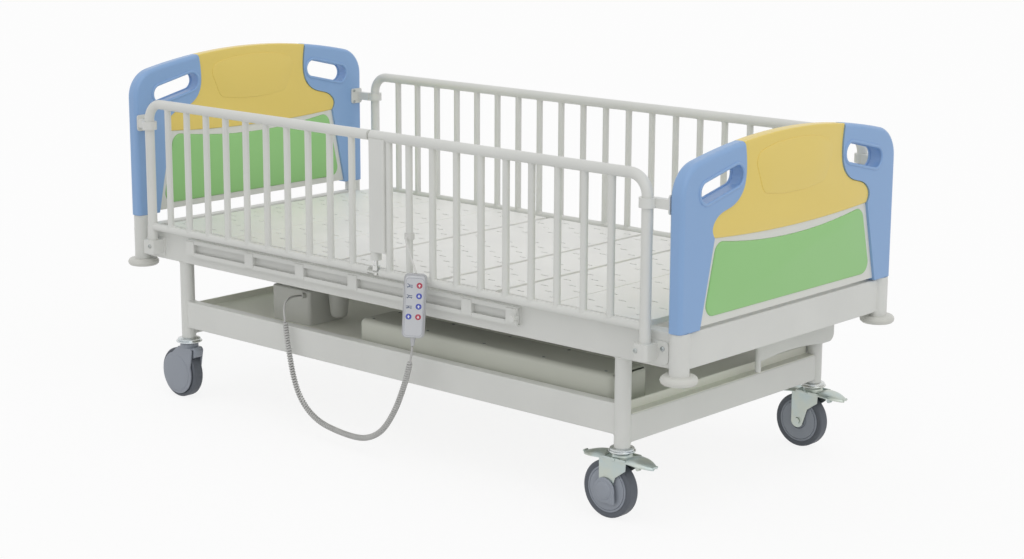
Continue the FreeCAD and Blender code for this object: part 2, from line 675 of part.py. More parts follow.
def hinge_barrels(hinge_x, owner):
    """Knuckles of a long deck hinge with the leaf that joins them to the owner's plate.

    owner is -1 for the plate on the head side of the hinge and +1 for the other one.
    """
    count = 7
    span = 2 * (SIDE_BEAM_INNER - BARREL_END_GAP)
    step = span / count
    first = 0 if owner < 0 else 1
    knuckles = []
    for index in range(first, count, 2):
        y0 = -span / 2 + index * step + SEAM / 2
        y1 = y0 + step - SEAM
        barrel = cylinder(BARREL_R, (hinge_x, y0, HINGE_Z), (hinge_x, y1, HINGE_Z))
        x0, x1 = sorted((hinge_x, hinge_x + owner * (HINGE_GAP + 2)))
        leaf = box(x0, x1, y0, y1, DECK_BOTTOM, DECK_BOTTOM + DECK_SHEET)
        bore = cylinder(HINGE_PIN_R + RUNNING_FIT, (hinge_x, y0 - 1, HINGE_Z), (hinge_x, y1 + 1, HINGE_Z))
        knuckles.append(barrel.fuse(leaf).cut(bore))
    return knuckles


def hinge_pin(hinge_x):
    half = SIDE_BEAM_INNER - BARREL_END_GAP
    return cylinder(HINGE_PIN_R, (hinge_x, -half, HINGE_Z), (hinge_x, half, HINGE_Z))


def runners(x0, x1, y):
    """Square tubes welded under a deck plate."""
    size = RUNNER_SIZE
    return [box(x0, x1, side * y - size / 2, side * y + size / 2, DECK_BOTTOM - size, SHEET_BOTTOM)
            for side in (-1, 1)]


def torque_tube(x0):
    half = RUNNER_Y
    return box(x0, x0 + RUNNER_SIZE, -half, half, DECK_BOTTOM - RUNNER_SIZE, SHEET_BOTTOM)


def lever(hinge_x, y, rod_z, start, swing, root_x0, root_x1):
    """Two slotted plates hanging from a deck section; the rod's cross pin rides in the slots.

    start is the lever's angle from straight down at rest, positive towards the foot end.
    """
    depth = HINGE_Z - rod_z
    reach = depth / math.cos(math.radians(swing / 2))
    side_play = 0.036 * depth if swing > 60 else 0.01 * depth
    slot_half = LEVER_PIN_R + side_play + 0.6
    slot_top = -(depth - LEVER_PIN_R - 2)
    slot_low = -(reach + LEVER_PIN_R + 2)
    plates = []
    for side in (-1, 1):
        y0 = y + side * (LEVER_GAP / 2 + LEVER_PLATE / 2) - LEVER_PLATE / 2
        outline = polygon([(-20, y0, -20), (20, y0, -20), (slot_half + 9, y0, slot_low - 9),
                           (-slot_half - 9, y0, slot_low - 9)])
        plate = extruded(outline, Y * LEVER_PLATE)
        slot = box(-slot_half, slot_half, y0 - 1, y0 + LEVER_PLATE + 1, slot_low, slot_top)
        plate = plate.cut(rounded(slot, slot_half - 1, along(Y)))
        plate.translate(Vector(hinge_x, 0, HINGE_Z))
        plate = turned(plate, Vector(hinge_x, 0, HINGE_Z), Y, -start)
        root = box(root_x0, root_x1, y0, y0 + LEVER_PLATE, HINGE_Z - 46, DECK_BOTTOM - 1)
        plates.append(plate.fuse(root))
    return plates


def back_section():
    plate_end = BACK_HINGE_X - HINGE_GAP
    grooves = [plate_end - 451, plate_end - 206]
    rows = [DECK_HEAD_X + step for step in (45, 100, 175, 250)]
    rows += [grooves[0] + step for step in (50, 120, 195)]
    rows += [grooves[1] + step for step in (50, 105, 165)]
    pan = deck_pan(DECK_HEAD_X, plate_end, rows, grooves, -1)
    tube_x = plate_end - RUNNER_SIZE - 2
    parts = [pan] + runners(DECK_HEAD_X + 60, tube_x + RUNNER_SIZE, RUNNER_Y) + [torque_tube(tube_x)]
    parts += lever(BACK_HINGE_X, BACK_ACTUATOR_Y, BACK_ROD_Z, BACK_SWING / 2, BACK_SWING,
                   tube_x, BACK_HINGE_X + 12)
    return fused(parts + hinge_barrels(BACK_HINGE_X, -1))


def seat_section():
    x0 = BACK_HINGE_X + HINGE_GAP
    x1 = THIGH_HINGE_X - HINGE_GAP
    rows = [x0 + step for step in (36, 96, 156, 216, 276, 331)]
    parts = [deck_pan(x0, x1, rows, [])]
    size = RUNNER_SIZE
    for side in (-1, 1):
        parts.append(box(x0 + 5, x1 - 5, side * RUNNER_Y - size / 2, side * RUNNER_Y + size / 2,
                         CROSS_TUBE_TOP + SEAM, SHEET_BOTTOM))
    return fused(parts + hinge_barrels(BACK_HINGE_X, 1) + hinge_barrels(THIGH_HINGE_X, -1))


def thigh_section():
    x0 = THIGH_HINGE_X + HINGE_GAP
    x1 = KNEE_HINGE_X - HINGE_GAP
    rows = [x0 + step for step in (29, 89, 154)]
    parts = [deck_pan(x0, x1, rows, [])]
    tube_x = x0 + 2
    parts += runners(tube_x, x1 - 5, RUNNER_Y) + [torque_tube(tube_x)]
    parts += lever(THIGH_HINGE_X, LEG_ACTUATOR_Y, LEG_ROD_Z, -THIGH_SWING / 2, THIGH_SWING,
                   THIGH_HINGE_X - 12, tube_x + RUNNER_SIZE)
    return fused(parts + hinge_barrels(THIGH_HINGE_X, 1) + hinge_barrels(KNEE_HINGE_X, -1))


def calf_section():
    x0 = KNEE_HINGE_X + HINGE_GAP
    groove = x0 + 184
    rows = [x0 + step for step in (33, 88, 143)] + [groove + step for step in (44, 109, 174, 239)]
    parts = [deck_pan(x0, DECK_FOOT_X, rows, [groove], 1)]
    parts += runners(x0 + 35, DECK_FOOT_X - 60, CALF_RUNNER_Y)
    return fused(parts + hinge_barrels(KNEE_HINGE_X, 1))


# ---------------------------------------------------------------- actuators
def actuator_body(eye_x, towards, y, z, tube_length):
    """Linear drive: rear eye, gear case, tapered motor can below it and an outer tube for the rod."""
    eye = cylinder(12, (eye_x, y - 8, z), (eye_x, y + 8, z))
    case_x0 = eye_x + towards * 14
    case_x1 = case_x0 + towards * GEARCASE_LENGTH
    x0, x1 = sorted((case_x0, case_x1))
    case = rounded(box(x0, x1, y - 28, y + 28, z - 26, z + 26), 8, along(X))
    x0, x1 = sorted((eye_x, case_x0))
    neck = box(x0, x1, y - 8, y + 8, z - 9, z + 9)
    motor_x = (case_x0 + case_x1) / 2
    profile = [(0, 0), (MOTOR_R - 14, 0), (MOTOR_R - 8, 4), (MOTOR_R - 5, 12), (MOTOR_R, 60),
               (MOTOR_R, z - 24 - MOTOR_BOTTOM), (0, z - 24 - MOTOR_BOTTOM)]
    motor = revolved(profile, Vector(motor_x, y, MOTOR_BOTTOM), Z)
    tube_end = case_x1 + towards * tube_length
    sleeve = cylinder(OUTER_TUBE_R, (case_x1 - towards * 2, y, z), (tube_end, y, z))
    wiper = cylinder(OUTER_TUBE_R + 3, (tube_end - towards * 18, y, z), (tube_end, y, z))
    bore = cylinder(ROD_R + RUNNING_FIT, (case_x1 - towards * 30, y, z), (tube_end + towards, y, z))
    pin_hole = cylinder(EYE_PIN_R + RUNNING_FIT, (eye_x, y - 10, z), (eye_x, y + 10, z))
    return fused([eye, neck, case, motor, sleeve, wiper]).cut([bore, pin_hole])


def actuator_rod(pin_x, towards, y, z, length):
    """Sliding rod with a flat eye and the cross pin that works in the lever's slots."""
    inner = pin_x - towards * length
    rod = cylinder(ROD_R, (inner, y, z), (pin_x - towards * 8, y, z))
    eye = cylinder(13, (pin_x, y - 9, z), (pin_x, y + 9, z))
    half = LEVER_GAP / 2 + LEVER_PLATE + 3
    pin = cylinder(LEVER_PIN_R, (pin_x, y - half, z), (pin_x, y + half, z))
    return fused([rod, eye, pin])


def lever_pin_x(hinge_x, rod_z, swing, towards):
    """Where the rod's pin stands at rest: half the stroke short of straight under the hinge."""
    return hinge_x - towards * (HINGE_Z - rod_z) * math.tan(math.radians(swing / 2))


def rear_pin(eye_x, y, z):
    half = BRACKET_GAP / 2 + BRACKET_PLATE + 3
    return cylinder(EYE_PIN_R, (eye_x, y - half, z), (eye_x, y + half, z))


# ---------------------------------------------------------------- side rails
def bars(positions, y):
    return [cylinder(BAR_R, (x, y, BOTTOM_TUBE_Z), (x, y, TOP_TUBE_Z)) for x in positions]


def head_gate():
    """Head half of the near rail: bent top tube and post, bottom tube, ten bars and the keeper eye."""
    y = -RAIL_Y
    frame, _ = rail_tube([(-GATE_SPLIT, y, TOP_TUBE_Z), (-POST_X, y, TOP_TUBE_Z), (-POST_X, y, POST_BOTTOM)],
                         [RAIL_BEND_R], POST_R)
    low_end = LATCH_X - 24
    bottom = cylinder(BOTTOM_TUBE_R, (-POST_X, y, BOTTOM_TUBE_Z), (low_end, y, BOTTOM_TUBE_Z))
    positions = evenly(HEAD_BAR_START - POST_X, HEAD_BAR_LAST, HEAD_BAR_COUNT)
    keeper = box(low_end - 4, LATCH_X + 13, y - 12, y + 12, BOTTOM_TUBE_Z - 2, BOTTOM_TUBE_Z + 2)
    keeper = rounded(keeper, 11, lambda edge: along(Z)(edge) and edge.Vertexes[0].X > LATCH_X)
    hole = cylinder(LATCH_R + 0.6, (LATCH_X, y, BOTTOM_TUBE_Z - 4), (LATCH_X, y, BOTTOM_TUBE_Z + 4))
    return fused([frame, bottom, keeper] + bars(positions, y)).cut(hole)


def foot_gate():
    """Foot half of the near rail, with the boxed meeting stile that houses the drop latch."""
    y = -RAIL_Y
    frame, _ = rail_tube([(GATE_SPLIT, y, TOP_TUBE_Z), (POST_X, y, TOP_TUBE_Z), (POST_X, y, POST_BOTTOM)],
                         [RAIL_BEND_R], POST_R)
    bottom = cylinder(BOTTOM_TUBE_R, (LATCH_X + 18, y, BOTTOM_TUBE_Z), (POST_X, y, BOTTOM_TUBE_Z))
    positions = evenly(FOOT_BAR_FIRST, POST_X - FOOT_BAR_END, FOOT_BAR_COUNT)
    stile_y0 = y - STILE_DEPTH / 2 - 3
    stile_x1 = STILE_X0 + STILE_WIDTH
    stile = box(STILE_X0, stile_x1, stile_y0, stile_y0 + STILE_DEPTH, STILE_BOTTOM, TOP_TUBE_Z - 6)
    stile = rounded(stile, 4, along(Z))
    sleeve = cylinder(SLEEVE_R, (LATCH_X, y, SLEEVE_BOTTOM), (LATCH_X, y, STILE_BOTTOM + 2))
    sleeve = sleeve.common(box(STILE_X0 - 3, stile_x1, y - 30, y + 30, SLEEVE_BOTTOM, STILE_BOTTOM + 2))
    bore = cylinder(LATCH_R + SEAM, (LATCH_X, y, SLEEVE_BOTTOM - 1), (LATCH_X, y, SLEEVE_BOTTOM + LATCH_BORE))
    solid = fused([frame, bottom, stile, sleeve] + bars([STILE_TUBE_X] + positions, y))
    return solid.cut(bore)


def gate_latch():
    """Sprung bolt of the meeting stile: lifting its collar frees the keeper eye."""
    y = -RAIL_Y
    bolt = cylinder(LATCH_R, (LATCH_X, y, BOTTOM_TUBE_Z - 9),
                    (LATCH_X, y, SLEEVE_BOTTOM + LATCH_BORE - 2 * LATCH_LIFT))
    collar_z = BOTTOM_TUBE_Z + LATCH_COLLAR_RISE
    collar = cylinder(LATCH_COLLAR_R, (LATCH_X, y, collar_z), (LATCH_X, y, collar_z + LATCH_COLLAR_HEIGHT))
    return fused([bolt, collar])


def far_rail():
    """Full-length fixed rail of the far side with evenly spaced bars."""
    y = RAIL_Y
    frame, _ = rail_tube([(-POST_X, y, POST_BOTTOM), (-POST_X, y, TOP_TUBE_Z), (POST_X, y, TOP_TUBE_Z),
                          (POST_X, y, POST_BOTTOM)], [RAIL_BEND_R, RAIL_BEND_R], POST_R)
    bottom = cylinder(BOTTOM_TUBE_R, (-POST_X, y, BOTTOM_TUBE_Z), (POST_X, y, BOTTOM_TUBE_Z))
    positions = evenly(FAR_BAR_END - POST_X, POST_X - FAR_BAR_END, FAR_BAR_COUNT)
    return fused([frame, bottom] + bars(positions, y))


def rail_brackets():
    """Corner cups on the side beams: a back plate and a U that holds the foot of a rail post."""
    brackets = []
    for x, y in corners():
        beam_face = SIDE_BEAM_Y + SIDE_BEAM_WIDTH / 2
        plate = box(POST_X - CUP_HALF - 6, POST_X + 56, beam_face, beam_face + 4, CUP_BOTTOM - 10,
                    CUP_TOP + 6)
        plate = rounded(plate, 14, lambda edge: along(Y)(edge) and edge.Vertexes[0].X > POST_X)
        plate = plate.cut(cylinder(4, (POST_X + 38, beam_face - 1, CUP_TOP - 12),
                                   (POST_X + 38, beam_face + 5, CUP_TOP - 12)))
        cup = box(POST_X - CUP_HALF, POST_X + CUP_HALF, beam_face, RAIL_Y + POST_R + 9, CUP_BOTTOM, CUP_TOP)
        cup = rounded(cup, 10, lambda edge: along(Z)(edge) and edge.Vertexes[0].Y > RAIL_Y)
        bore = cylinder(POST_R + CUP_FIT, (POST_X, RAIL_Y, POST_BOTTOM - SEAM), (POST_X, RAIL_Y, CUP_TOP + 9))
        bracket = fused([plate, cup]).cut(bore)
        if x < 0:
            bracket = mirrored(bracket, X)
        if y < 0:
            bracket = mirrored(bracket, Y)
        brackets.append(bracket)
    return brackets


def rail_collars():
    """Upper keepers on the boards: a ring around the post on an arm with a screw plate."""
    collars = []
    board_face = BOARD_X - BOARD_THICKNESS / 2 - SEAM
    for x, y in corners():
        z0 = COLLAR_Z - COLLAR_HEIGHT / 2
        z1 = COLLAR_Z + COLLAR_HEIGHT / 2
        ring = cylinder(POST_R + 7, (POST_X, RAIL_Y, z0), (POST_X, RAIL_Y, z1))
        arm = box(POST_X + 10, board_face, RAIL_Y - 22, RAIL_Y - 4, z0, z1)
        plate = box(board_face - 4, board_face, RAIL_Y - 48, RAIL_Y - 3, z0 - 12, z1 + 12)
        plate = rounded(plate, 8, along(X))
        bore = cylinder(POST_R + CUP_FIT, (POST_X, RAIL_Y, z0 - 1), (POST_X, RAIL_Y, z1 + 1))
        collar = fused([ring, arm, plate]).cut(bore)
        if x < 0:
            collar = mirrored(collar, X)
        if y < 0:
            collar = mirrored(collar, Y)
        collars.append(collar)
    return collars


# ---------------------------------------------------------------- head and foot boards
def board_outline(x, bottom, peak):
    """Outline of a board: straight sides, tangent corner arcs and one shallow arch over the top."""
    half = BOARD_HALF_WIDTH
    arch_z = peak - BOARD_ARCH_R
    corner_y = half - BOARD_CORNER_R
    reach = BOARD_ARCH_R - BOARD_CORNER_R
    corner_z = arch_z + math.sqrt(reach ** 2 - corner_y ** 2)
    scale = BOARD_ARCH_R / reach
    join_y = corner_y * scale
    join_z = arch_z + (corner_z - arch_z) * scale
    mid_turn = math.atan2(corner_z - arch_z, corner_y) / 2
    mid_y = corner_y + BOARD_CORNER_R * math.cos(mid_turn)
    mid_z = corner_z + BOARD_CORNER_R * math.sin(mid_turn)

    def at(y, z):
        return Vector(x, y, z)

    edges = [Part.LineSegment(at(-half, bottom), at(-half, corner_z)).toShape(),
             Part.Arc(at(-half, corner_z), at(-mid_y, mid_z), at(-join_y, join_z)).toShape(),
             Part.Arc(at(-join_y, join_z), at(0, peak), at(join_y, join_z)).toShape(),
             Part.Arc(at(join_y, join_z), at(mid_y, mid_z), at(half, corner_z)).toShape(),
             Part.LineSegment(at(half, corner_z), at(half, bottom)).toShape(),
             Part.LineSegment(at(half, bottom), at(-half, bottom)).toShape()]
    return Part.Wire(edges)


def board_blank(bottom, peak, thickness):
    return extruded(board_outline(BOARD_X - thickness / 2, bottom, peak), X * thickness)


def centre_blank(bottom, peak, inset, thickness):
    """The field between the two coloured legs: wide at the bottom, waisted beside the hand holes."""
    x = BOARD_X - thickness / 2
    waist = [(386, bottom - 5), (334, peak - 234), (342, peak - 205), (322, peak - 182), (262, peak - 163),
             (222, peak - 130), (211, peak - 82), (224, peak + 13)]
    right = [Vector(x, y - inset, z) for y, z in waist]
    left = [Vector(x, -y + inset, z) for y, z in reversed(waist)]
    right_curve = Part.BSplineCurve()
    right_curve.interpolate(right[1:])
    left_curve = Part.BSplineCurve()
    left_curve.interpolate(left[:-1])
    edges = [Part.LineSegment(right[0], right[1]).toShape(), right_curve.toShape(),
             Part.LineSegment(right[-1], left[0]).toShape(), left_curve.toShape(),
             Part.LineSegment(left[-2], left[-1]).toShape(), Part.LineSegment(left[-1], right[0]).toShape()]
    return extruded(Part.Wire(edges), X * thickness)


def arch_blank(half, end_z, mid_z, low_z, thickness):
    """Everything below an arc that spans the board; low_z is its flat lower side."""
    x = BOARD_X - thickness / 2
    arc = Part.Arc(Vector(x, -half, end_z), Vector(x, 0, mid_z), Vector(x, half, end_z)).toShape()
    edges = [arc, Part.LineSegment(Vector(x, half, end_z), Vector(x, half, low_z)).toShape(),
             Part.LineSegment(Vector(x, half, low_z), Vector(x, -half, low_z)).toShape(),
             Part.LineSegment(Vector(x, -half, low_z), Vector(x, -half, end_z)).toShape()]
    return extruded(Part.Wire(edges), X * thickness)


def hand_hole(side, peak, thickness):
    """Slanted slot that follows the corner of the board, with round ends."""
    inner = Vector(BOARD_X - thickness / 2, side * 250, peak - 92)
    outer = Vector(BOARD_X - thickness / 2, side * 368, peak - 119)
    run = outer - inner
    normal = Vector(0, -run.z, run.y).normalize() * HAND_HOLE_R
    ends = [Part.makeCylinder(HAND_HOLE_R, thickness, point, X) for point in (inner, outer)]
    corners_of_slot = [inner + normal, outer + normal, outer - normal, inner - normal]
    middle = extruded(Part.makePolygon(corners_of_slot + [corners_of_slot[0]]), X * thickness)
    return fused(ends + [middle])


def board_stub(y, bottom):
    return cylinder(STUB_R, (SOCKET_X, y * SOCKET_Y, SOCKET_BOTTOM + STUB_RISE),
                    (SOCKET_X, y * SOCKET_Y, bottom + 2))


def board_frame(bottom, peak):
    frame = board_blank(bottom, peak, BOARD_THICKNESS)
    frame = rounded(frame, BOARD_EDGE_R, lambda edge: not along(X)(edge) and not along(Y)(edge)
                    and min(v.Z for v in edge.Vertexes) > bottom - 1)
    cutters = [centre_blank(bottom, peak, 0, BOARD_THICKNESS + 4)]
    cutters += [hand_hole(side, peak, BOARD_THICKNESS + 4) for side in (-1, 1)]
    halves = frame.cut(cutters)
    solids = []
    for half in halves.Solids:
        side = 1 if half.CenterOfMass.y > 0 else -1
        solids.append(fused([half, board_stub(side, bottom)]))
    return solids


def green_outline(bottom, peak, grow, thickness):
    """Lower coloured panel: slanted sides, dished top edge and round corners."""
    x = BOARD_X - thickness / 2
    points = [(-364 - grow, bottom + 24 - grow), (364 + grow, bottom + 24 - grow),
              (318 + grow, peak - 243 + grow), (-318 - grow, peak - 243 + grow)]
    low_left, low_right, high_right, high_left = [Vector(x, y, z) for y, z in points]
    dip = Vector(x, 0, peak - 270 + grow)
    edges = [Part.LineSegment(low_left, low_right).toShape(),
             Part.LineSegment(low_right, high_right).toShape(),
             Part.Arc(high_right, dip, high_left).toShape(),
             Part.LineSegment(high_left, low_left).toShape()]
    blank = extruded(Part.Wire(edges), X * thickness)
    return rounded(blank, 30 + grow, along(X))


def board_pieces(bottom, peak):
    """Frame halves, white core, upper panel and lower panel of one board, at the foot end."""
    seam_end = peak - 221
    seam_mid = peak - 246
    frame = board_frame(bottom, peak)
    below_seam = arch_blank(BOARD_HALF_WIDTH, seam_end - 2, seam_mid - 2, bottom + 6, PANEL_THICKNESS + 8)
    field = centre_blank(bottom, peak, SEAM, CORE_THICKNESS)
    core = field.common(below_seam).cut(green_outline(bottom, peak, SEAM, CORE_THICKNESS + 4))
    above_seam = arch_blank(BOARD_HALF_WIDTH, seam_end - 2 + SEAM, seam_mid - 2 + SEAM, bottom - 20,
                            PANEL_THICKNESS + 8)
    upper = centre_blank(bottom, peak, SEAM, PANEL_THICKNESS).cut(above_seam)
    upper = upper.common(board_blank(bottom, peak - 1, PANEL_THICKNESS))
    lower = green_outline(bottom, peak, 0, PANEL_THICKNESS - 2)
    return frame, core, upper, lower


def to_head(shapes):
    """Carry foot-end shapes to the head end."""
    if not isinstance(shapes, list):
        shapes = [shapes]
    return [mirrored(shape, X) for shape in shapes]


# ---------------------------------------------------------------- accessory rail
def accessory_rail():
    """Slotted channel on the near beam with its clamp blocks and an end stop peg."""
    y1 = NEAR_BEAM_FACE
    y0 = y1 - ACCESSORY_DEPTH
    z0 = ACCESSORY_BOTTOM
    z1 = z0 + ACCESSORY_HEIGHT
    channel = box(ACCESSORY_START, ACCESSORY_END, y0, y1, z0, z1)
    hollow = box(ACCESSORY_START - 1, ACCESSORY_END + 1, y0 + 3, y1 - 3, z0 + 3, z1 - 3)
    mouth = box(ACCESSORY_START - 1, ACCESSORY_END + 1, y0 - 1, y0 + 4, z0 + 12, z1 - 12)
    channel = channel.cut([hollow, mouth])
    blocks = []
    for x in ACCESSORY_BLOCKS:
        block = box(x - ACCESSORY_BLOCK_HALF, x + ACCESSORY_BLOCK_HALF, y0 - 3, y1 - 3, z0 + 4, z1 - 4)
        blocks.append(rounded(block, 3, lambda edge: along(Z)(edge) and edge.Vertexes[0].Y < y0))
    peg = cylinder(6, (ACCESSORY_END - 4, y1 - 10, z0 + 22), (ACCESSORY_END - 4, y0 - 14, z0 + 22))
    head = cylinder(9, (ACCESSORY_END - 4, y0 - 14, z0 + 22), (ACCESSORY_END - 4, y0 - 18, z0 + 22))
    return fused([channel] + blocks + [peg, head])


# ---------------------------------------------------------------- casters
def caster_stems():
    """Chrome plugs in the legs, each with the fixed upper race of the swivel."""
    stems = []
    for x, y in corners():
        centre = Vector(x * LEG_X, y * LEG_Y, 0)
        plug = LEG_R - LEG_WALL - RUNNING_FIT
        profile = [(0, RACE_BOTTOM + 5), (STEM_R, RACE_BOTTOM + 5), (STEM_R, RACE_TOP),
                   (RACE_R - 4, RACE_TOP), (RACE_R, RACE_TOP + 4), (RACE_R, RACE_TOP + 8),
                   (RACE_R - 3, RACE_TOP + 11),
                   (RACE_R - 3, LEG_BOTTOM), (plug, LEG_BOTTOM), (plug, LEG_BOTTOM + STEM_LENGTH),
                   (0, LEG_BOTTOM + STEM_LENGTH)]
        stems.append(revolved(profile, centre, Z))
    return stems


def race(centre):
    """Lower half of the swivel race, bored for the stem."""
    bore = STEM_R + RUNNING_FIT
    top = RACE_TOP - SEAM
    profile = [(bore, RACE_BOTTOM), (RACE_R - 3, RACE_BOTTOM), (RACE_R, RACE_BOTTOM + 5), (RACE_R, top - 5),
               (RACE_R - 3, top), (bore, top)]
    return revolved(profile, centre, Z)


def trunnions(centre):
    """Pins on both sides of the race that carry the brake pedal."""
    reach = PEDAL_OPENING_R + PEDAL_EAR + 2
    return [cylinder(TRUNNION_R, (centre.x, centre.y + side * (RACE_R - 7), TRUNNION_Z),
                     (centre.x, centre.y + side * reach, TRUNNION_Z)) for side in (-1, 1)]


def steel_fork(centre):
    """Pressed fork of a braked caster: a crown and two tapered legs down to the axle."""
    inner = TYRE_WIDTH / 2 + FORK_SIDE_GAP
    axle_x = centre.x - TRAIL
    crown_x0 = axle_x - 20
    crown_x1 = centre.x + 30
    legs = []
    for side in (-1, 1):
        y0 = centre.y + side * (inner + FORK_PLATE / 2) - FORK_PLATE / 2
        outline = [Vector(crown_x0, y0, RACE_BOTTOM), Vector(axle_x - FORK_END_R, y0, WHEEL_R + 4),
                   Vector(axle_x + FORK_END_R - 2, y0, WHEEL_R - 9),
                   Vector(centre.x - 2, y0, RACE_BOTTOM - 46),
                   Vector(crown_x1 - 2, y0, RACE_BOTTOM - 24), Vector(crown_x1, y0, RACE_BOTTOM)]
        edges = [Part.LineSegment(outline[0], outline[1]).toShape(),
                 Part.Arc(outline[1], Vector(axle_x, y0, WHEEL_R - FORK_END_R), outline[2]).toShape()]
        for start, end in zip(outline[2:], outline[3:] + outline[:1]):
            edges.append(Part.LineSegment(start, end).toShape())
        legs.append(extruded(Part.Wire(edges), Y * FORK_PLATE))
    outer = inner + FORK_PLATE
    crown = box(crown_x0, crown_x1, centre.y - outer, centre.y + outer, RACE_BOTTOM - 4, RACE_BOTTOM)
    body = fused(legs + [crown, race(centre)] + trunnions(centre))
    axle_hole = cylinder(AXLE_R + RUNNING_FIT, (axle_x, centre.y - outer - 1, WHEEL_R),
                         (axle_x, centre.y + outer + 1, WHEEL_R))
    return body.cut(axle_hole)


def plastic_housing(centre):
    """Moulded housing of an unbraked caster: a round cheek each side and a guard over the top."""
    inner = TYRE_WIDTH / 2 + HOUSING_SIDE_GAP
    outer = inner + HOUSING_WALL
    guard_inner = WHEEL_R + HOUSING_CLEARANCE
    guard_outer = guard_inner + HOUSING_WALL
    axle = Vector(centre.x - TRAIL, centre.y, WHEEL_R)
    start = axle - Y * outer
    guard = Part.makeCylinder(guard_outer, 2 * outer, start, Y)
    guard = guard.cut(Part.makeCylinder(guard_inner, 2 * outer, start, Y))
    keep = extruded(polygon([(axle.x, start.y, axle.z), (axle.x - 90, start.y, axle.z + 30),
                             (axle.x - 90, start.y, axle.z + 100), (axle.x + 100, start.y, axle.z + 100),
                             (axle.x + 100, start.y, axle.z + 58)]), Y * (2 * outer))
    guard = guard.common(keep)
    cheeks = []
    for side in (-1, 1):
        y0 = centre.y + side * (inner + HOUSING_WALL / 2) - HOUSING_WALL / 2
        disc = Part.makeCylinder(HOUSING_DISC_R, HOUSING_WALL, Vector(axle.x, y0, axle.z), Y)
        fan = Part.makeCylinder(guard_outer, HOUSING_WALL, Vector(axle.x, y0, axle.z), Y).common(keep)
        cheeks += [disc, fan]
    crown = cylinder(RACE_R - 2, (centre.x, centre.y, RACE_BOTTOM - 28),
                     (centre.x, centre.y, RACE_BOTTOM + 2))
    crown = crown.cut(Part.makeCylinder(guard_inner, 2 * outer, start, Y))
    body = fused([guard, crown, race(centre)] + cheeks)
    axle_hole = cylinder(AXLE_R + RUNNING_FIT, (axle.x, centre.y - outer - 1, WHEEL_R),
                         (axle.x, centre.y + outer + 1, WHEEL_R))
    return body.cut(axle_hole)


def caster_axle(centre, half, head):
    x = centre.x - TRAIL
    bolt = cylinder(AXLE_R, (x, centre.y - half, WHEEL_R), (x, centre.y + half, WHEEL_R))
    if not head:
        return bolt
    caps = [cylinder(AXLE_HEAD_R, (x, centre.y + side * half, WHEEL_R),
                     (x, centre.y + side * (half + AXLE_HEAD_HEIGHT), WHEEL_R)) for side in (-1, 1)]
    return fused([bolt] + caps)


def caster_wheel(centre):
    """Grey wheel: a dished hub with a bored boss, and a soft tread ring around it."""
    half = TYRE_WIDTH / 2
    middle = Vector(centre.x - TRAIL, centre.y, WHEEL_R)
    hub_r = WHEEL_R - TREAD_DEPTH
    tread_r = hub_r + 8
    hub_profile = [(AXLE_R + RUNNING_FIT, -half), (22, -half), (24, -half + 4), (hub_r - 8, -half + 4),
                   (hub_r - 5, -half + 1), (hub_r, -half + 1), (hub_r, half - 1), (hub_r - 5, half - 1),
                   (hub_r - 8, half - 4), (24, half - 4), (22, half), (AXLE_R + RUNNING_FIT, half)]
    shoulder = 5
    tread_profile = [(hub_r, -half + 2), (tread_r, -half)]
    for step in range(0, 5):
        turn = math.pi / 2 * step / 4
        tread_profile.append((WHEEL_R - shoulder + shoulder * math.sin(turn),
                              -half + shoulder - shoulder * math.cos(turn)))
    for step in range(0, 5):
        turn = math.pi / 2 * (1 - step / 4)
        tread_profile.append((WHEEL_R - shoulder + shoulder * math.sin(turn),
                              half - shoulder + shoulder * math.cos(turn)))
    tread_profile += [(tread_r, half), (hub_r, half - 2)]
    return [revolved(hub_profile, middle, Y), revolved(tread_profile, middle, Y)]


def brake_pedal(centre):
    """Two-winged brake plate around the swivel neck, with its cam bolt under the outer wing."""
    root = 40
    plate = box(centre.x - root - 4, centre.x + root + 4, centre.y - 36, centre.y + 36, PEDAL_Z,
                PEDAL_Z + PEDAL_THICKNESS)
    wings = []
    for sign, reach, drop in ((1, 106, 8), (-1, 118, 8)):
        x0 = centre.x + sign * root
        x1 = centre.x + sign * reach
        outline = [(x0, -34), (x0 + sign * 18, -32), (x1 - sign * 8, -17), (x1, -10), (x1, 10),
                   (x1 - sign * 8, 17), (x0 + sign * 18, 32), (x0, 34)]
        wing = extruded(polygon([(x, centre.y + y, PEDAL_Z) for x, y in outline]), Z * PEDAL_THICKNESS)
        slope = sign * math.degrees(math.atan(drop / (reach - root)))
        wings.append(turned(wing, Vector(x0, centre.y, PEDAL_Z), Y, slope))
    cam_z = PEDAL_Z - 20
    cam = cylinder(6.5, (centre.x + 65, centre.y - 20, cam_z), (centre.x + 65, centre.y + 20, cam_z))
    web = box(centre.x + 60, centre.x + 70, centre.y - 12, centre.y + 12, cam_z, PEDAL_Z - 1.5)
    ears = []
    for side in (-1, 1):
        inner = PEDAL_OPENING_R + 0.5
        y0, y1 = sorted((centre.y + side * inner, centre.y + side * (inner + PEDAL_EAR)))
        ears.append(box(centre.x - 6, centre.x + 6, y0, y1, TRUNNION_Z - 6, PEDAL_Z + 1))
    pin_bore = cylinder(TRUNNION_R + RUNNING_FIT, (centre.x, centre.y - 50, TRUNNION_Z),
                        (centre.x, centre.y + 50, TRUNNION_Z))
    opening = cylinder(PEDAL_OPENING_R, (centre.x, centre.y, PEDAL_Z - 1),
                       (centre.x, centre.y, PEDAL_Z + PEDAL_THICKNESS + 1))
    return fused([plate] + wings + [cam, web] + ears).cut([opening, pin_bore])


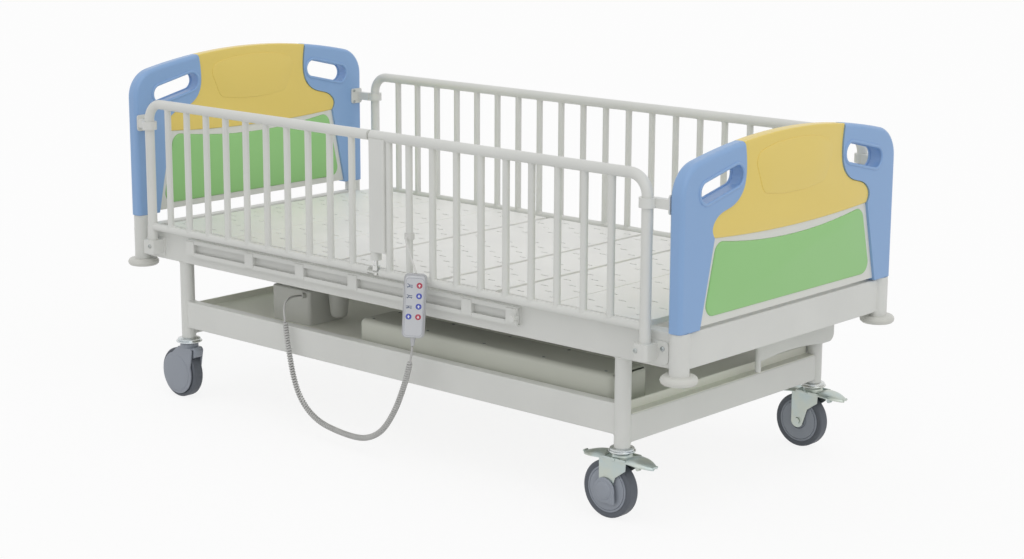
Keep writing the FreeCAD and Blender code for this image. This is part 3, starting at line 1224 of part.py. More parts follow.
# ---------------------------------------------------------------- handset
def placed_on_handset(shape):
    """Move a shape from the handset's own frame (key face towards -Y) to where it hangs."""
    copy = shape.copy()
    copy.rotate(Vector(0, 0, 0), Y, HANDSET_LEAN)
    copy.rotate(Vector(0, 0, 0), Z, HANDSET_TURN)
    copy.translate(HANDSET_CENTRE)
    return copy


def handset_blank(y0, y1, shrink, corner):
    half_w = HANDSET_WIDTH / 2 - shrink
    half_l = HANDSET_LENGTH / 2 - shrink
    blank = box(-half_w, half_w, y0, y1, -half_l, half_l)
    return rounded(blank, corner, along(Y))


def button_pockets(y0, y1):
    return [cylinder(BUTTON_R + SEAM, (x, y0, z), (x, y1, z)) for x, z in BUTTONS.values()]


def handset_front_shell():
    front = -HANDSET_DEPTH / 2
    shell = handset_blank(front, -SHELL_SPLIT, 4, 10)
    shell = rounded(shell, 3, lambda edge: max(v.Y for v in edge.Vertexes) < front + 0.1)
    return placed_on_handset(shell.cut(button_pockets(front - 1, front + 6)))


def handset_back_shell():
    """Grip half of the handset with ribbed flanks and the cord's strain relief."""
    back = HANDSET_DEPTH / 2
    shell = handset_blank(-SHELL_SPLIT + SEAM, back, 0, 13)
    shell = rounded(shell, 5, lambda edge: min(v.Y for v in edge.Vertexes) > back - 0.1)
    ribs = []
    for index in range(9):
        z = -56 + index * 14
        for side in (-1, 1):
            x = side * HANDSET_WIDTH / 2
            ribs.append(box(x - 1.2, x + 1.2, 1, back - 6, z - 2, z + 2))
    relief = Part.makeCone(4.2, 8, 24, Vector(0, 3, -HANDSET_LENGTH / 2 - 22), Z)
    return placed_on_handset(shell.cut(ribs).fuse(relief).removeSplitter())


def handset_button(x, z):
    front = -HANDSET_DEPTH / 2
    cap = cylinder(BUTTON_R, (x, front - 1.6, z), (x, front + 6 - BUTTON_TRAVEL - 0.2, z))
    cap = rounded(cap, 0.8, lambda edge: edge.BoundBox.YMax < front - 1.5)
    return placed_on_handset(cap)


def handset_hook():
    """Strap from the handset's back up to a clip around the first bar of the foot gate."""
    y = -RAIL_Y
    clip_z = BEAM_TOP + CLIP_RISE
    clip = tube(13.5, BAR_R + 0.3, (FOOT_BAR_FIRST, y, clip_z - 8), (FOOT_BAR_FIRST, y, clip_z + 8))
    route = [(FOOT_BAR_FIRST, y - 13, clip_z), (FOOT_BAR_FIRST + 8, y - 20, clip_z - 14),
             (FOOT_BAR_FIRST + 30, y - 30, clip_z - 38), (FOOT_BAR_FIRST + 50, y - 35, clip_z - 66),
             (HANDSET_CENTRE.x + 4.3, HANDSET_CENTRE.y + 3, HANDSET_CENTRE.z + HANDSET_LENGTH / 2 + 1.6)]
    strap, _ = rail_tube(route, cord_bends(route), 2.6)
    return fused([clip, strap])


# ---------------------------------------------------------------- build
def build():
    save("chassis_legs", chassis_legs())
    save("lower_side_beams", lower_side_beams())
    save("lower_end_beams", lower_end_beams())
    save("base_tray", base_tray())
    save("base_cover", base_cover())
    save("control_box", control_box())
    save("corner_sockets", corner_sockets())
    save("corner_bumpers", corner_bumpers())
    save("upper_side_beams", upper_side_beams())
    save("upper_end_beams", upper_end_beams())
    save("foot_cross_plate", foot_cross_plate())
    save("deck_cross_tubes", deck_cross_tubes())

    save("back_section", back_section())
    save("seat_section", seat_section())
    save("thigh_section", thigh_section())
    save("calf_section", calf_section())
    save("knee_pin", hinge_pin(KNEE_HINGE_X))
    save("pivot_pins", [hinge_pin(BACK_HINGE_X), hinge_pin(THIGH_HINGE_X),
                        rear_pin(BACK_EYE_X, BACK_ACTUATOR_Y, BACK_ROD_Z),
                        rear_pin(LEG_EYE_X, LEG_ACTUATOR_Y, LEG_ROD_Z)])

    save("actuator_bodies", [
        actuator_body(BACK_EYE_X, -1, BACK_ACTUATOR_Y, BACK_ROD_Z, BACK_TUBE_LENGTH),
        actuator_body(LEG_EYE_X, 1, LEG_ACTUATOR_Y, LEG_ROD_Z, LEG_TUBE_LENGTH)])
    back_pin_x = lever_pin_x(BACK_HINGE_X, BACK_ROD_Z, BACK_SWING, -1)
    leg_pin_x = lever_pin_x(THIGH_HINGE_X, LEG_ROD_Z, THIGH_SWING, 1)
    save("back_actuator_rod", actuator_rod(back_pin_x, -1, BACK_ACTUATOR_Y, BACK_ROD_Z, BACK_ROD_LENGTH))
    save("leg_actuator_rod", actuator_rod(leg_pin_x, 1, LEG_ACTUATOR_Y, LEG_ROD_Z, LEG_ROD_LENGTH))

    save("head_gate", head_gate())
    save("foot_gate", foot_gate())
    save("gate_latch", gate_latch())
    save("far_rail", far_rail())
    save("rail_brackets", rail_brackets())
    save("rail_collars", rail_collars())

    frame, foot_core, upper, lower = board_pieces(FOOTBOARD_BOTTOM, FOOTBOARD_PEAK)
    save("footboard_frame", frame)
    save("footboard_top_panel", upper)
    save("footboard_lower_panel", lower)
    frame, head_core, upper, lower = board_pieces(HEADBOARD_BOTTOM, HEADBOARD_PEAK)
    save("headboard_frame", to_head(frame))
    save("headboard_top_panel", to_head(upper))
    save("headboard_lower_panel", to_head(lower))
    save("board_cores", [foot_core] + to_head(head_core))

    save("accessory_rail", accessory_rail())

    save("caster_stems", caster_stems())
    for end, x in ENDS.items():
        for side, y in SIDES.items():
            name = "%s_%s" % (end, side)
            centre = Vector(x * LEG_X, y * LEG_Y, 0)
            if end == "foot":
                save("fork_" + name, steel_fork(centre))
                save("pedal_" + name, brake_pedal(centre))
                save("axle_" + name, caster_axle(centre, TYRE_WIDTH / 2 + 7.2, True))
            else:
                save("housing_" + name, plastic_housing(centre))
                save("axle_" + name, caster_axle(centre, TYRE_WIDTH / 2 + 5.5, False))
            save("wheel_" + name, caster_wheel(centre))

    save("handset_front_shell", handset_front_shell())
    save("handset_back_shell", handset_back_shell())
    save("handset_hook", handset_hook())
    for name, (x, z) in BUTTONS.items():
        save(name, handset_button(x, z))
    save("curly_cord", cord_tube("curly cord", COIL_ROUTE, COIL_R))
    save("cord_leads", [cord_tube("lead at the control box", BOX_LEAD_ROUTE, LEAD_R),
                        cord_tube("lead at the handset", HANDSET_LEAD_ROUTE, LEAD_R)])


build()
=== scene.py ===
"""Looks of a children's hospital cot, built round its packed CAD frame. Metres, +Z up."""
from math import acos, atan2, cos, degrees, pi, radians, sin, tan

import bmesh
import bpy
import numpy as np
from bpy.props import FloatProperty, FloatVectorProperty, IntProperty, PointerProperty
from mathutils import Matrix, Vector


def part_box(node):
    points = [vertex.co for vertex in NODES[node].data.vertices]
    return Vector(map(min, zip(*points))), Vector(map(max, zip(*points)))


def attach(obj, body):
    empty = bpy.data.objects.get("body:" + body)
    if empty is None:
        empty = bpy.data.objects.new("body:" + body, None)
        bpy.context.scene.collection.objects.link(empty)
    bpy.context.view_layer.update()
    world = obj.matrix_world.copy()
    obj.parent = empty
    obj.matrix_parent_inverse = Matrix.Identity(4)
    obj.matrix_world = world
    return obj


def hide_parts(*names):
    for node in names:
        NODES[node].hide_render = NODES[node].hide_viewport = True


bl_info = {
    "name": "Children's hospital cot",
    "version": (1, 0, 0),
    "blender": (4, 5, 0),
    "location": "View3D > Sidebar > Cot",
    "description": "Paint, moulded boards, welds, fasteners, handset and curly cord of a children's cot",
    "category": "Object",
}

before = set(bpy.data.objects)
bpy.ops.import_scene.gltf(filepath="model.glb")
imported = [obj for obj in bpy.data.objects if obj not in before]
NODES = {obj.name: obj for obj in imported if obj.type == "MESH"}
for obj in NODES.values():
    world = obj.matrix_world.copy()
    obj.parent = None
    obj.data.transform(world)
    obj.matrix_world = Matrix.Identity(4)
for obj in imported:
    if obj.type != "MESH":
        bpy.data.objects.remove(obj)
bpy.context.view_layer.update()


def mm(*points):
    """Points in metres from their numbers in millimetres."""
    return np.array(points) / 1000


PICTURE_WIDTH = 1024
PICTURE_FOCUS = 2077.04  # focal length in pixels of that width
CAMERA_PLACE = Vector((3.9249, -4.2728, 1.6864))
CAMERA_TURN = radians(41.92)
CAMERA_RISE = radians(12.31)
CAMERA_ROLL = radians(0.25)
FLOOR_GLOW = 0.86  # how much of the seen floor is plain white
FLOOR_HALF = 30
LAMPS = {"right": ((0.85, -0.3, 0.65), 45), "left": ((-0.9, -0.35, 0.45), 45),  # direction, spread in degrees
         "front": ((0.1, -1.0, 0.5), 60), "top": ((0.1, -0.15, 1.0), 60)}

CREASE = radians(38)  # edges sharper than this stay crisp
FLAT = 1e-5  # how far a point of a flat face may lie off its plane
MITRE = 1.6  # longest inset of a rim's corner, in rim widths
WELD_R, LEG_WELD_R = 0.0017, 0.0022
WELD_POINTS, LEG_WELD_POINTS = 14, 24
UPRIGHT = (0, 0, 1)
CORNERS = [(x, y) for x in (-1, 1) for y in (-1, 1)]

# sizes of the steelwork that the welds and fasteners follow
LEG_X, LEG_Y, LEG_R = 0.834, 0.42, 0.021
BEAM_FOOT = 0.418
LOWER_SIDE = (0.22, 0.3, 0.016)  # bottom, top and half width of the lower side beams
LOWER_END = (0.198, 0.27, 0.015)
BEAM_CORNER = 0.003
RAIL_Y = 0.464
TOP_TUBE = (0.886, 0.014)  # height and radius
BOTTOM_TUBE = (0.518, 0.011)
BAR_R = 0.0095
HEAD_BARS = np.linspace(-0.848, -0.074, 10)
FOOT_BARS = np.append(0.068, np.linspace(0.142, 0.826, 9))
FAR_BARS = np.linspace(-0.826, 0.826, 20)
SOCKET_Y = 0.437

# boards: name, end of the cot, height of the peak
BOARDS = (("footboard", 1, 0.962), ("headboard", -1, 1.018))
BOARD_X, BOARD_HALF = 1.018, 0.02  # middle of the boards and half their thickness
BOARD_RIM = 0.0035  # radius of the panels' rims
STUB_TOP = {1: 0.5114, -1: 0.5394}  # upper end of the sleeves round the stubs, by end of the cot
SLEEVE_FOOT, SLEEVE_BORE, SLEEVE_R = 0.4985, 0.0212, 0.0245
EMBOSS, EMBOSS_ROOT = 0.0018, 0.002  # height of the raised fields, and how deep they start
# raised field of an upper panel: place across, depth below the peak, radius of the corner
FIELD = mm((176, 50, 30), (90, 30, 300), (0, 25, 400), (-90, 30, 300), (-176, 50, 30), (-134, 150, 30),
           (-60, 160, 300), (0, 162, 400), (60, 160, 300), (134, 150, 30))
HAND_HOLE = ((0.25, 0.092), (0.368, 0.119))  # its ends: place across, depth below the peak
HAND_HOLE_R, LIP_R, LIP_SUNK = 0.0295, 0.0045, 0.0012

# screws at a corner: place, direction of the head in x and y, radius and height of the head
CORNER_SCREWS = [((0.972, 0.444, 0.466), (0, 1), 0.0062, 0.0035),
                 ((0.923, 0.487, 0.461), (0, 1), 0.0065, 0.003),
                 ((0.9937, 0.426, 0.802), (-1, 0), 0.0052, 0.003),
                 ((0.9937, 0.426, 0.838), (-1, 0), 0.0052, 0.003)]
HOOD_SCREWS_Y, HOOD_SCREW_INSET, HOOD_SCREW = (-0.372, -0.271), 0.04, (0.0045, 0.0016)
BOX_SCREWS_X, BOX_SCREWS_Y, BOX_SCREW = (-0.548, -0.404), (-0.3, -0.24), (0.004, 0.0015)
# head of a screw, in its radius and height; points 6 and 7 are the mouth and the foot of its socket
SCREW_HEAD = np.array([(0, -0.3), (1, -0.3), (1, 0.3), (0.94, 0.6), (0.8, 0.85), (0.6, 1), (0.52, 1),
                       (0.5, 0.45), (0, 0.4)])
# folded hem of the pan's ends: place along the cot and height
PAN_HEM = mm((819, 270.3), (848, 270.3), (848, 272), (820.6, 272), (820.6, 293.5), (819, 293.5))
PAN_HEM_HALF = 0.398

# turned parts of the casters: radius, and height or distance along the axis
FOOT_FLANGE = mm((27.2, 177), (31, 177), (34.5, 178), (35, 179.6), (34, 181.2), (30, 182), (29.5, 183.6),
                 (31, 184.8), (31, 186.6), (29, 188), (21.5, 188.6), (21.3, 184.5), (27.2, 184))
HEAD_FLANGE = mm((27.5, 173.5), (36, 173.5), (38.6, 174.8), (39, 176.6), (37.8, 178.4), (33, 179.2),
                 (32.5, 180.8), (34, 182.2), (34, 184.2), (32, 185.8), (26, 188), (21.5, 188.6),
                 (21.3, 184.5), (27.5, 184))
HUB_FACE = [mm((24.5, 12.8), (53.6, 12.8), (53.8, 16.2), (53.1, 16.9), (24.5, 17.2)),
            mm((55.7, 15.5), (59.4, 15.5), (59.4, 16.4), (58.8, 17), (56.3, 17), (55.7, 16.4))]
HUB_CAP = mm((0, 5.2), (9.8, 4.8), (9.8, 0.2), (30.5, 0), (32.5, 1.6), (32.5, 4), (30.5, 6), (23.5, 6.6),
             (22.8, 8.2), (21, 9.4), (12, 10.2), (0, 10.5))
WING_TIP = mm((0, -9), (2, -9), (3.2, -7), (3.2, 7), (2, 9), (0, 9))
PEDAL_PIN = mm((0, 0), (4.5, 0), (4.5, 1.5), (3, 2.8), (0, 2.8))
CAM_BOLT = mm((0, -17.5), (6.2, -17.5), (6.2, -12.5), (4.2, -12.5), (4.2, 12.5), (6.2, 12.5), (6.2, 17.5),
              (0, 17.5))
SHELL_RING = mm((0, -0.6), (53, -0.6), (53.8, 0.4), (53, 1), (52, 1.2), (30, 1.8), (0, 2))
SHELL_NECK = mm((9.5, 158.5), (27, 158.5), (27.5, 164), (26.2, 170), (24, 172.6), (9.5, 172.6))
# flat parts of the casters: place along the cot from the stem, and height
WHEEL_X = 0.034  # axle behind the stem
TREAD_START = 0.0602  # radius where a wheel's tread starts
STRAP = mm((-36, 160.5), (-6, 157), (6, 157), (36, 160.5), (36, 166.5), (-36, 166.5))
CAM_CHEEK = mm((50, 165.5), (54, 146), (60, 141.5), (67, 143), (71, 149), (75, 164.5))
SHELL_NOSE = mm((30, 127), (40, 132), (45, 142), (43, 154), (36, 160), (30, 160))
STRAP_Y, CHEEK_Y = (0.0308, 0.0338), (0.0085, 0.011)  # near and far side, from the stem
WING_START, WINGS = 0.033, ((1, 0.106), (-1, 0.118))  # start of a wing; directions and reach
PEDAL_Z, WING_Z, TIP_Z, SHEET = 0.162, 0.1655, 0.156, 0.0026
CAM_BOLT_X, CAM_BOLT_Z = 0.062, 0.1475
HUB_CAP_Y, HUB_TAIL_Y = 0.0243, (0.0004, 0.005)  # of the cap from the wheel's middle, of its tail from there
NOSE_HALF, CROWN_Z = 0.015, (0.1532, 0.1588)
# crown of a wheel housing, seen from above, from the stem
SHELL_CROWN = mm((-26, -22.8), (30, -22.8), (36, -14.8), (36, 14.8), (30, 22.8), (-26, 22.8))
SHELL_FACE = (0.0184, 0.024)  # inner and outer side of a housing's discs, from the wheel's middle

# handset, in its own frame
HANDSET_PLACE = (Matrix.Translation((0.204, -0.51, 0.461)) @ Matrix.Rotation(radians(40), 4, "Z")
                 @ Matrix.Rotation(radians(3), 4, "Y"))
KEY_FACE = -0.014  # face of the shell
KEY_TOP = -0.0156  # top of the keys
KEYS = {"top": (0.012, 0.058), "upper": (0.012, 0.03), "lower": (0.012, 0.002), "bottom": (0.012, -0.026),
        "left": (-0.013, -0.026)}
KEY_COLOURS = {"red": ("top", "bottom"), "blue": ("upper", "lower", "left")}
KEY_RIM = mm((5.9, -0.2), (7.6, -0.2), (7.8, 0.1), (7.4, 0.5), (6.3, 0.5), (5.9, 0.1))
ARROW = mm((-4, 0), (-1.6, 0), (-1.6, -3.8), (1.6, -3.8), (1.6, 0), (4, 0), (0, 4.2))
ARROW_DOWN = ("upper", "bottom")  # keys whose arrow points down
PICTOGRAM_X, PICTOGRAMS = -0.013, ((0.058, 35), (0.03, 20), (0.002, 0))  # height and tilt of the back part
# strips of a bed pictogram from its middle: base, two legs, mattress and the prop of the back part
BED = mm(((-7.4, -4.2), (7.4, -4.2)), ((-5.2, -4.2), (-5.2, -7.4)), ((5.2, -4.2), (5.2, -7.4)),
         ((-0.6, 0.2), (7.4, 0.2)), ((-3, -4.2), (-0.6, 0.2)))
BED_HINGE, BED_BACK, STRIP_HALF = (-0.0006, 0.0002), 0.0072, 0.0009
BORDER_HALF, BORDER_TALL, BORDER_CORNER, BORDER_R = 0.0232, 0.077, 0.008, 0.00035

# grain, depth of the grain and gloss of moulded plastics
COARSE = {"grain": 420, "depth": 0.0002, "coat": 0.0}
SATIN = {"grain": 900, "depth": 0.0001, "coat": 0.0}
INK = {"rough": 0.5, "grain": 900, "depth": 0.00004, "coat": 0.0}
HUB_PLASTIC = {"rough": 0.42, "grain": 500, "coat": 0.1}


def paint(red, green, blue):
    """Screen colour, 0 to 255, to the linear colour that shaders use."""
    share = np.array([red, green, blue]) / 255
    linear = np.where(share <= 0.04045, share / 12.92, ((share + 0.055) / 1.055) ** 2.4)
    return tuple(linear.tolist())


# --- shader maths
class Varying:
    """A number that changes over a surface: an expression on it adds its Math nodes."""

    def __init__(self, skin, socket):
        self.skin = skin
        self.socket = socket

    def math(self, operation, other):
        return self.skin.node("ShaderNodeMath", [self, other], operation=operation)

    def __add__(self, other):
        return self.math("ADD", other)

    def __mul__(self, other):
        return self.math("MULTIPLY", other)

    def __pow__(self, other):
        return self.math("POWER", other)

    __radd__ = __add__
    __rmul__ = __mul__

    def above(self, edge, soft):
        """0 below the edge and 1 above it, with a smooth step as wide as soft."""
        sockets = {"Value": self, "From Min": edge - soft / 2, "From Max": edge + soft / 2}
        return self.skin.node("ShaderNodeMapRange", sockets, interpolation_type="SMOOTHSTEP")


class Skin:
    """Nodes of one material or world, added through node(); cover() closes a material."""

    def __init__(self, owner):
        owner.use_nodes = True
        self.owner = owner
        self.tree = owner.node_tree
        self.tree.nodes.clear()

    def node(self, kind, inputs=(), output=0, **settings):
        """Any shader node: settings first, then a list or a dict of the sockets' values or links."""
        made = self.tree.nodes.new(kind)
        for name, value in settings.items():
            setattr(made, name, value)
        for key, value in inputs.items() if isinstance(inputs, dict) else enumerate(inputs):
            if isinstance(value, Varying):
                self.tree.links.new(value.socket, made.inputs[key])
            elif hasattr(value, "__len__") and made.inputs[key].type == "RGBA":
                made.inputs[key].default_value = (*value[:3], 1)
            else:
                made.inputs[key].default_value = value
        return Varying(self, made.outputs[output]) if made.outputs else made

    def place(self, centre=None, stretch=None):
        """Object coordinates, measured from a centre or stretched."""
        point = self.node("ShaderNodeTexCoord", output="Object")
        if centre:
            point = self.node("ShaderNodeVectorMath", [point, centre], operation="SUBTRACT")
        if stretch:
            point = self.node("ShaderNodeVectorMath", [point, stretch], operation="MULTIPLY")
        return point

    def noise(self, point, scale, detail=3.0, roughness=0.5):
        return self.node("ShaderNodeTexNoise", {"Vector": point, "Scale": scale, "Detail": detail,
                                                "Roughness": roughness})

    def mix(self, share, first, second):
        """Colour that goes from first to second as share goes from 0 to 1."""
        return self.node("ShaderNodeMix", {0: share, 6: first, 7: second}, output=2, data_type="RGBA")

    def tones(self, share, colour, dark, light):
        """Colour that goes from a darker to a lighter tone of itself as share goes from 0 to 1."""
        colour = np.array(colour)
        return self.mix(share, colour * dark, np.minimum(colour * light, 1))

    def bump(self, height, depth, below=None):
        """Normal of a relief that is depth metres high where height is 1, over another relief."""
        sockets = {"Height": height, "Distance": depth}
        if below is not None:
            sockets["Normal"] = below
        return self.node("ShaderNodeBump", sockets)

    def cover(self, **sockets):
        """Principled surface from sockets given as base_color, roughness and so on."""
        named = {key.replace("_", " ").title(): value for key, value in sockets.items()}
        self.node("ShaderNodeOutputMaterial", [self.node("ShaderNodeBsdfPrincipled", named)])
        return self.owner


def new_skin(name):
    return Skin(bpy.data.materials.new(name))


def dress(material, *names):
    """Give CAD nodes a finish."""
    for name in names:
        mesh = NODES[name].data
        mesh.materials.clear()
        mesh.materials.append(material)


# --- surfaces worked out with numpy
def piece(name, parts, body, material, stands_for=None):
    """Object from one or more (points, faces), riding on a CAD body and perhaps in place of a CAD node.

    Points that meet on a pole become one, faces are turned outward, and edges over CREASE stay crisp.
    """
    points, faces = [], []
    for part_points, part_faces in parts:
        faces += [[corner + len(points) for corner in face] for face in part_faces]
        points += part_points.tolist()
    mesh = bpy.data.meshes.new(name)
    mesh.from_pydata(points, [], faces)
    shell = bmesh.new()
    shell.from_mesh(mesh)
    bmesh.ops.remove_doubles(shell, verts=shell.verts, dist=1e-7)
    bmesh.ops.recalc_face_normals(shell, faces=shell.faces)
    shell.to_mesh(mesh)
    shell.free()
    mesh.shade_smooth()
    mesh.set_sharp_from_angle(angle=CREASE)
    mesh.materials.append(material)
    made = bpy.data.objects.new(name, mesh)
    bpy.context.scene.collection.objects.link(made)
    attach(made, body)
    if stands_for:
        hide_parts(stands_for)


def grid_faces(rows, columns, round_rows=True, round_columns=True):
    """Quads of a grid whose rows and columns close on themselves or stay open."""
    row, column = np.indices((rows if round_rows else rows - 1, columns if round_columns else columns - 1))
    after_row = (row + 1) % rows
    after_column = (column + 1) % columns
    quads = [row * columns + column, after_row * columns + column,
             after_row * columns + after_column, row * columns + after_column]
    return np.stack(quads, -1).reshape(-1, 4).tolist()


def unit(vectors):
    """One vector, or each row of several, at length 1."""
    return vectors / np.linalg.norm(vectors, axis=-1, keepdims=True)


def frame_of(axis):
    """Two unit vectors that make a right-handed set with the axis."""
    axis = unit(np.asarray(axis, float))
    first = unit(np.cross(UPRIGHT if abs(axis[2]) < 0.9 else (1, 0, 0), axis))
    return first, np.cross(axis, first), axis


def turned(profile, centre, axis, sides=24, hexagon=()):
    """Surface of revolution: each (radius, height) of an outline goes round the axis.

    An outline that starts and ends on the axis closes in two poles; any other one closes on itself.
    Points whose numbers are in hexagon lie on a hexagon: r cos 30 / cos(a mod 60 - 30).
    """
    profile = np.asarray(profile, float)
    first, second, axis = frame_of(axis)
    angle = np.linspace(0, 2 * pi, sides, endpoint=False)[:, None]
    corner = np.cos(pi / 6) / np.cos(angle % (pi / 3) - pi / 6)
    on_hexagon = np.isin(np.arange(len(profile)), hexagon)[None, :]
    radius = (profile[None, :, 0] * np.where(on_hexagon, corner, 1))[..., None]
    around = np.cos(angle)[..., None] * first + np.sin(angle)[..., None] * second
    points = np.asarray(centre) + radius * around + profile[None, :, 1:] * axis
    poles = profile[0, 0] == 0 and profile[-1, 0] == 0
    return points.reshape(-1, 3), grid_faces(sides, len(profile), True, not poles)


def bolt_head(centre, axis, radius, height):
    """Button head with a hexagon socket, its foot a little inside what it clamps."""
    return turned(SCREW_HEAD * (radius, height), centre, axis, 24, (6, 7))


def plate(outline, axis, low, high, edge=0.001, steps=2):
    """Flat part: a closed outline pushed along an axis, its rims rounded with quarter circles of radius edge.

    The rings of the rim lie edge * (1 - cos t) deep and edge * (1 - sin t) inside the outline.
    """
    outline = np.asarray(outline, float)
    following = np.roll(outline, -1, 0)
    ahead = unit(following - outline)
    middle = np.roll(ahead, 1, 0) + ahead
    area = np.sum(outline[:, 0] * following[:, 1] - outline[:, 1] * following[:, 0])
    inward = np.column_stack([-middle[:, 1], middle[:, 0]]) * np.sign(area)
    length = np.linalg.norm(inward, axis=1)[:, None]
    inward = inward / length * np.minimum(2 / length, MITRE)
    quarter = np.linspace(0, pi / 2, steps + 1)
    rings = [(edge * (1 - sin(t)), low + edge * (1 - cos(t))) for t in quarter]
    rings += [(inset, high + low - depth) for inset, depth in reversed(rings)]
    others = [number for number in range(3) if number != axis]
    count = len(rings)
    points = np.empty((len(outline), count, 3))
    for number, (inset, depth) in enumerate(rings):
        points[:, number, others] = outline + inset * inward
        points[:, number, axis] = depth
    faces = grid_faces(len(outline), count, True, False)
    first = np.arange(len(outline)) * count
    faces += [first.tolist(), (first + count - 1)[::-1].tolist()]
    return points.reshape(-1, 3), faces


def walls(outline, middle, near, far, edge, steps=2, sides=(-1, 1)):
    """Equal flat parts that stand along the cot, from near to far from a middle, on each of its sides."""
    return [plate(outline, 1, *sorted((middle + side * near, middle + side * far)), edge, steps)
            for side in sides]


def arc(centre, radius, start, end, steps=12):
    """Points on a circle of a plane, from one angle in degrees to another."""
    angle = np.radians(np.linspace(start, end, steps + 1))
    return np.column_stack([centre[0] + radius * np.cos(angle), centre[1] + radius * np.sin(angle)])


def round_box(half, low, high, corner, steps):
    """Outline of a rectangle with round corners, 2 * half wide."""
    centres = [(half - corner, high - corner, 0), (corner - half, high - corner, 90),
               (corner - half, low + corner, 180), (half - corner, low + corner, 270)]
    return np.concatenate([arc((x, z), corner, turn, turn + 90, steps) for x, z, turn in centres])


def filleted(corners, radii, steps=6):
    """Outline with an arc at each corner, tangent to its sides: it starts r / tan(half the angle) away."""
    corners = np.asarray(corners, float)
    points = []
    for number, radius in enumerate(radii):
        here = corners[number]
        back, ahead = unit(corners[number - 1] - here), unit(corners[(number + 1) % len(corners)] - here)
        half = acos(np.clip(back @ ahead, -1, 1)) / 2
        centre = here + unit(back + ahead) * radius / sin(half)
        start = here + back * radius / tan(half) - centre
        end = here + ahead * radius / tan(half) - centre
        share = np.linspace(0, 1, steps + 1)[:, None]
        turn = pi - 2 * half
        swing = np.sin((1 - share) * turn) * start + np.sin(share * turn) * end
        points.append(centre + swing / sin(turn))
    return np.concatenate(points)


def bead(path, outward, radius, sides=6):
    """Closed round bead along a closed path: p + r (cos a * outward + sin a * sideways)."""
    path = np.asarray(path, float)
    outward = np.broadcast_to(np.asarray(outward, float), path.shape)
    heading = np.roll(path, -1, 0) - np.roll(path, 1, 0)
    sideways = unit(np.cross(outward, heading))
    angle = np.linspace(0, 2 * pi, sides, endpoint=False)[None, :, None]
    points = path[:, None] + radius * (np.cos(angle) * outward[:, None] + np.sin(angle) * sideways[:, None])
    return points.reshape(-1, 3), grid_faces(len(path), sides)


def circle(points):
    """Points of a level circle of radius 1."""
    angle = np.linspace(0, 2 * pi, points, endpoint=False)
    return np.column_stack([np.cos(angle), np.sin(angle), np.zeros(points)])


def bar_weld(x, y, tube_z, tube_r, bar_r, above):
    """Bead where an upright bar meets a level tube: z = tube_z +- sqrt(R^2 - (r sin a)^2)."""
    round_bar = circle(WELD_POINTS)
    path = round_bar * bar_r + (x, y, 0)
    path[:, 2] = tube_z + above * np.sqrt(tube_r ** 2 - (bar_r * round_bar[:, 1]) ** 2)
    return bead(path, round_bar, WELD_R)


def loop_of(node, axis, level):
    """Outer outline of a CAD node's flat face at a level of an axis, as points in the other two axes.

    The face's triangles run all one way round, so a side is on the outline if none runs along it backwards.
    """
    mesh = NODES[node].data
    others = [number for number in range(3) if number != axis]
    sides = set()
    for face in mesh.polygons:
        corners = [mesh.vertices[index].co for index in face.vertices]
        if all(abs(corner[axis] - level) < FLAT for corner in corners):
            spots = [tuple(round(corner[other], 5) for other in others) for corner in corners]
            sides.update(zip(spots, spots[1:] + spots[:1]))
    after = dict(side for side in sides if side[::-1] not in sides)
    loop = [min(after)]
    while after[loop[-1]] != loop[0]:
        loop.append(after[loop[-1]])
    return np.array(loop)


# --- settings
def tint(name, description, *screen_colour):
    return FloatVectorProperty(name=name, description=description, subtype="COLOR", size=3,
                               min=0.0, max=1.0, default=paint(*screen_colour))


def amount(name, description, default, low, high, kind=FloatProperty, **more):
    return kind(name=name, description=description, default=default, min=low, max=high, **more)


class CotFinish(bpy.types.PropertyGroup):
    """Colours of the cot."""

    steel: tint("Steel paint", "Powder coat of beams, legs and rails", 222, 223, 219)
    # deck: the steel's powder coat made lighter, painted light on the deck's upward faces
    deck: tint("Deck paint", "Powder coat of the deck's plates", 241, 241, 238)
    board_blue: tint("Board legs", "Moulded outer legs of both boards", 138, 174, 219)
    board_yellow: tint("Upper panels", "Upper field of both boards", 236, 210, 110)
    board_green: tint("Lower panels", "Lower field of both boards", 150, 206, 130)
    board_white: tint("Board cores", "Border round the lower panels", 224, 225, 219)
    bumper: tint("Bumpers", "Soft corner bumpers", 213, 213, 207)
    # pan: made lighter than the plastic is, painted light to lift the shade under the bed
    pan: tint("Pan", "Grey-green plastic pan in the chassis", 232, 233, 222)
    hood: tint("Hood", "Grey-green plastic hood in the pan", 198, 200, 189)
    rubber: tint("Tread", "Wheel treads", 94, 99, 107)
    hub: tint("Hubs", "Wheel hubs and moulded housings", 152, 158, 168)
    handset: tint("Handset", "Handset shells", 194, 195, 197)
    key_red: tint("Red keys", "Top and bottom key", 196, 70, 92)
    key_blue: tint("Blue keys", "The other three keys", 84, 98, 196)
    cord: tint("Cord", "Jacket of the handset's cord", 196, 196, 194)


class CotCord(bpy.types.PropertyGroup):
    """Sizes of the handset's cord."""

    strand: amount("Jacket", "Diameter of the cord's jacket", 0.006, 0.003, 0.01, unit="LENGTH")
    coil: amount("Coil", "Outside diameter of the coil", 0.017, 0.01, 0.03, unit="LENGTH")
    pitch: amount("Pitch", "Distance from one turn to the next", 0.0074, 0.006, 0.03, unit="LENGTH")
    steps: amount("Points per turn", "Control points in each turn", 14, 12, 32, kind=IntProperty)


class CotStudio(bpy.types.PropertyGroup):
    """Light of the studio."""

    dome: amount("Dome", "Strength of the light from all round", 0.66, 0.0, 2.0)
    right: amount("Right", "Strength of the lamp at the foot end", 0.35, 0, 10)
    left: amount("Left", "Strength of the lamp at the head end", 0.05, 0, 10)
    front: amount("Front", "Strength of the front lamp", 0.05, 0, 10)
    top: amount("Top", "Strength of the lamp overhead", 0.3, 0, 10)
    bounce: amount("Bounce", "Share of the light that the floor sends back", 0.85, 0.0, 1.0)


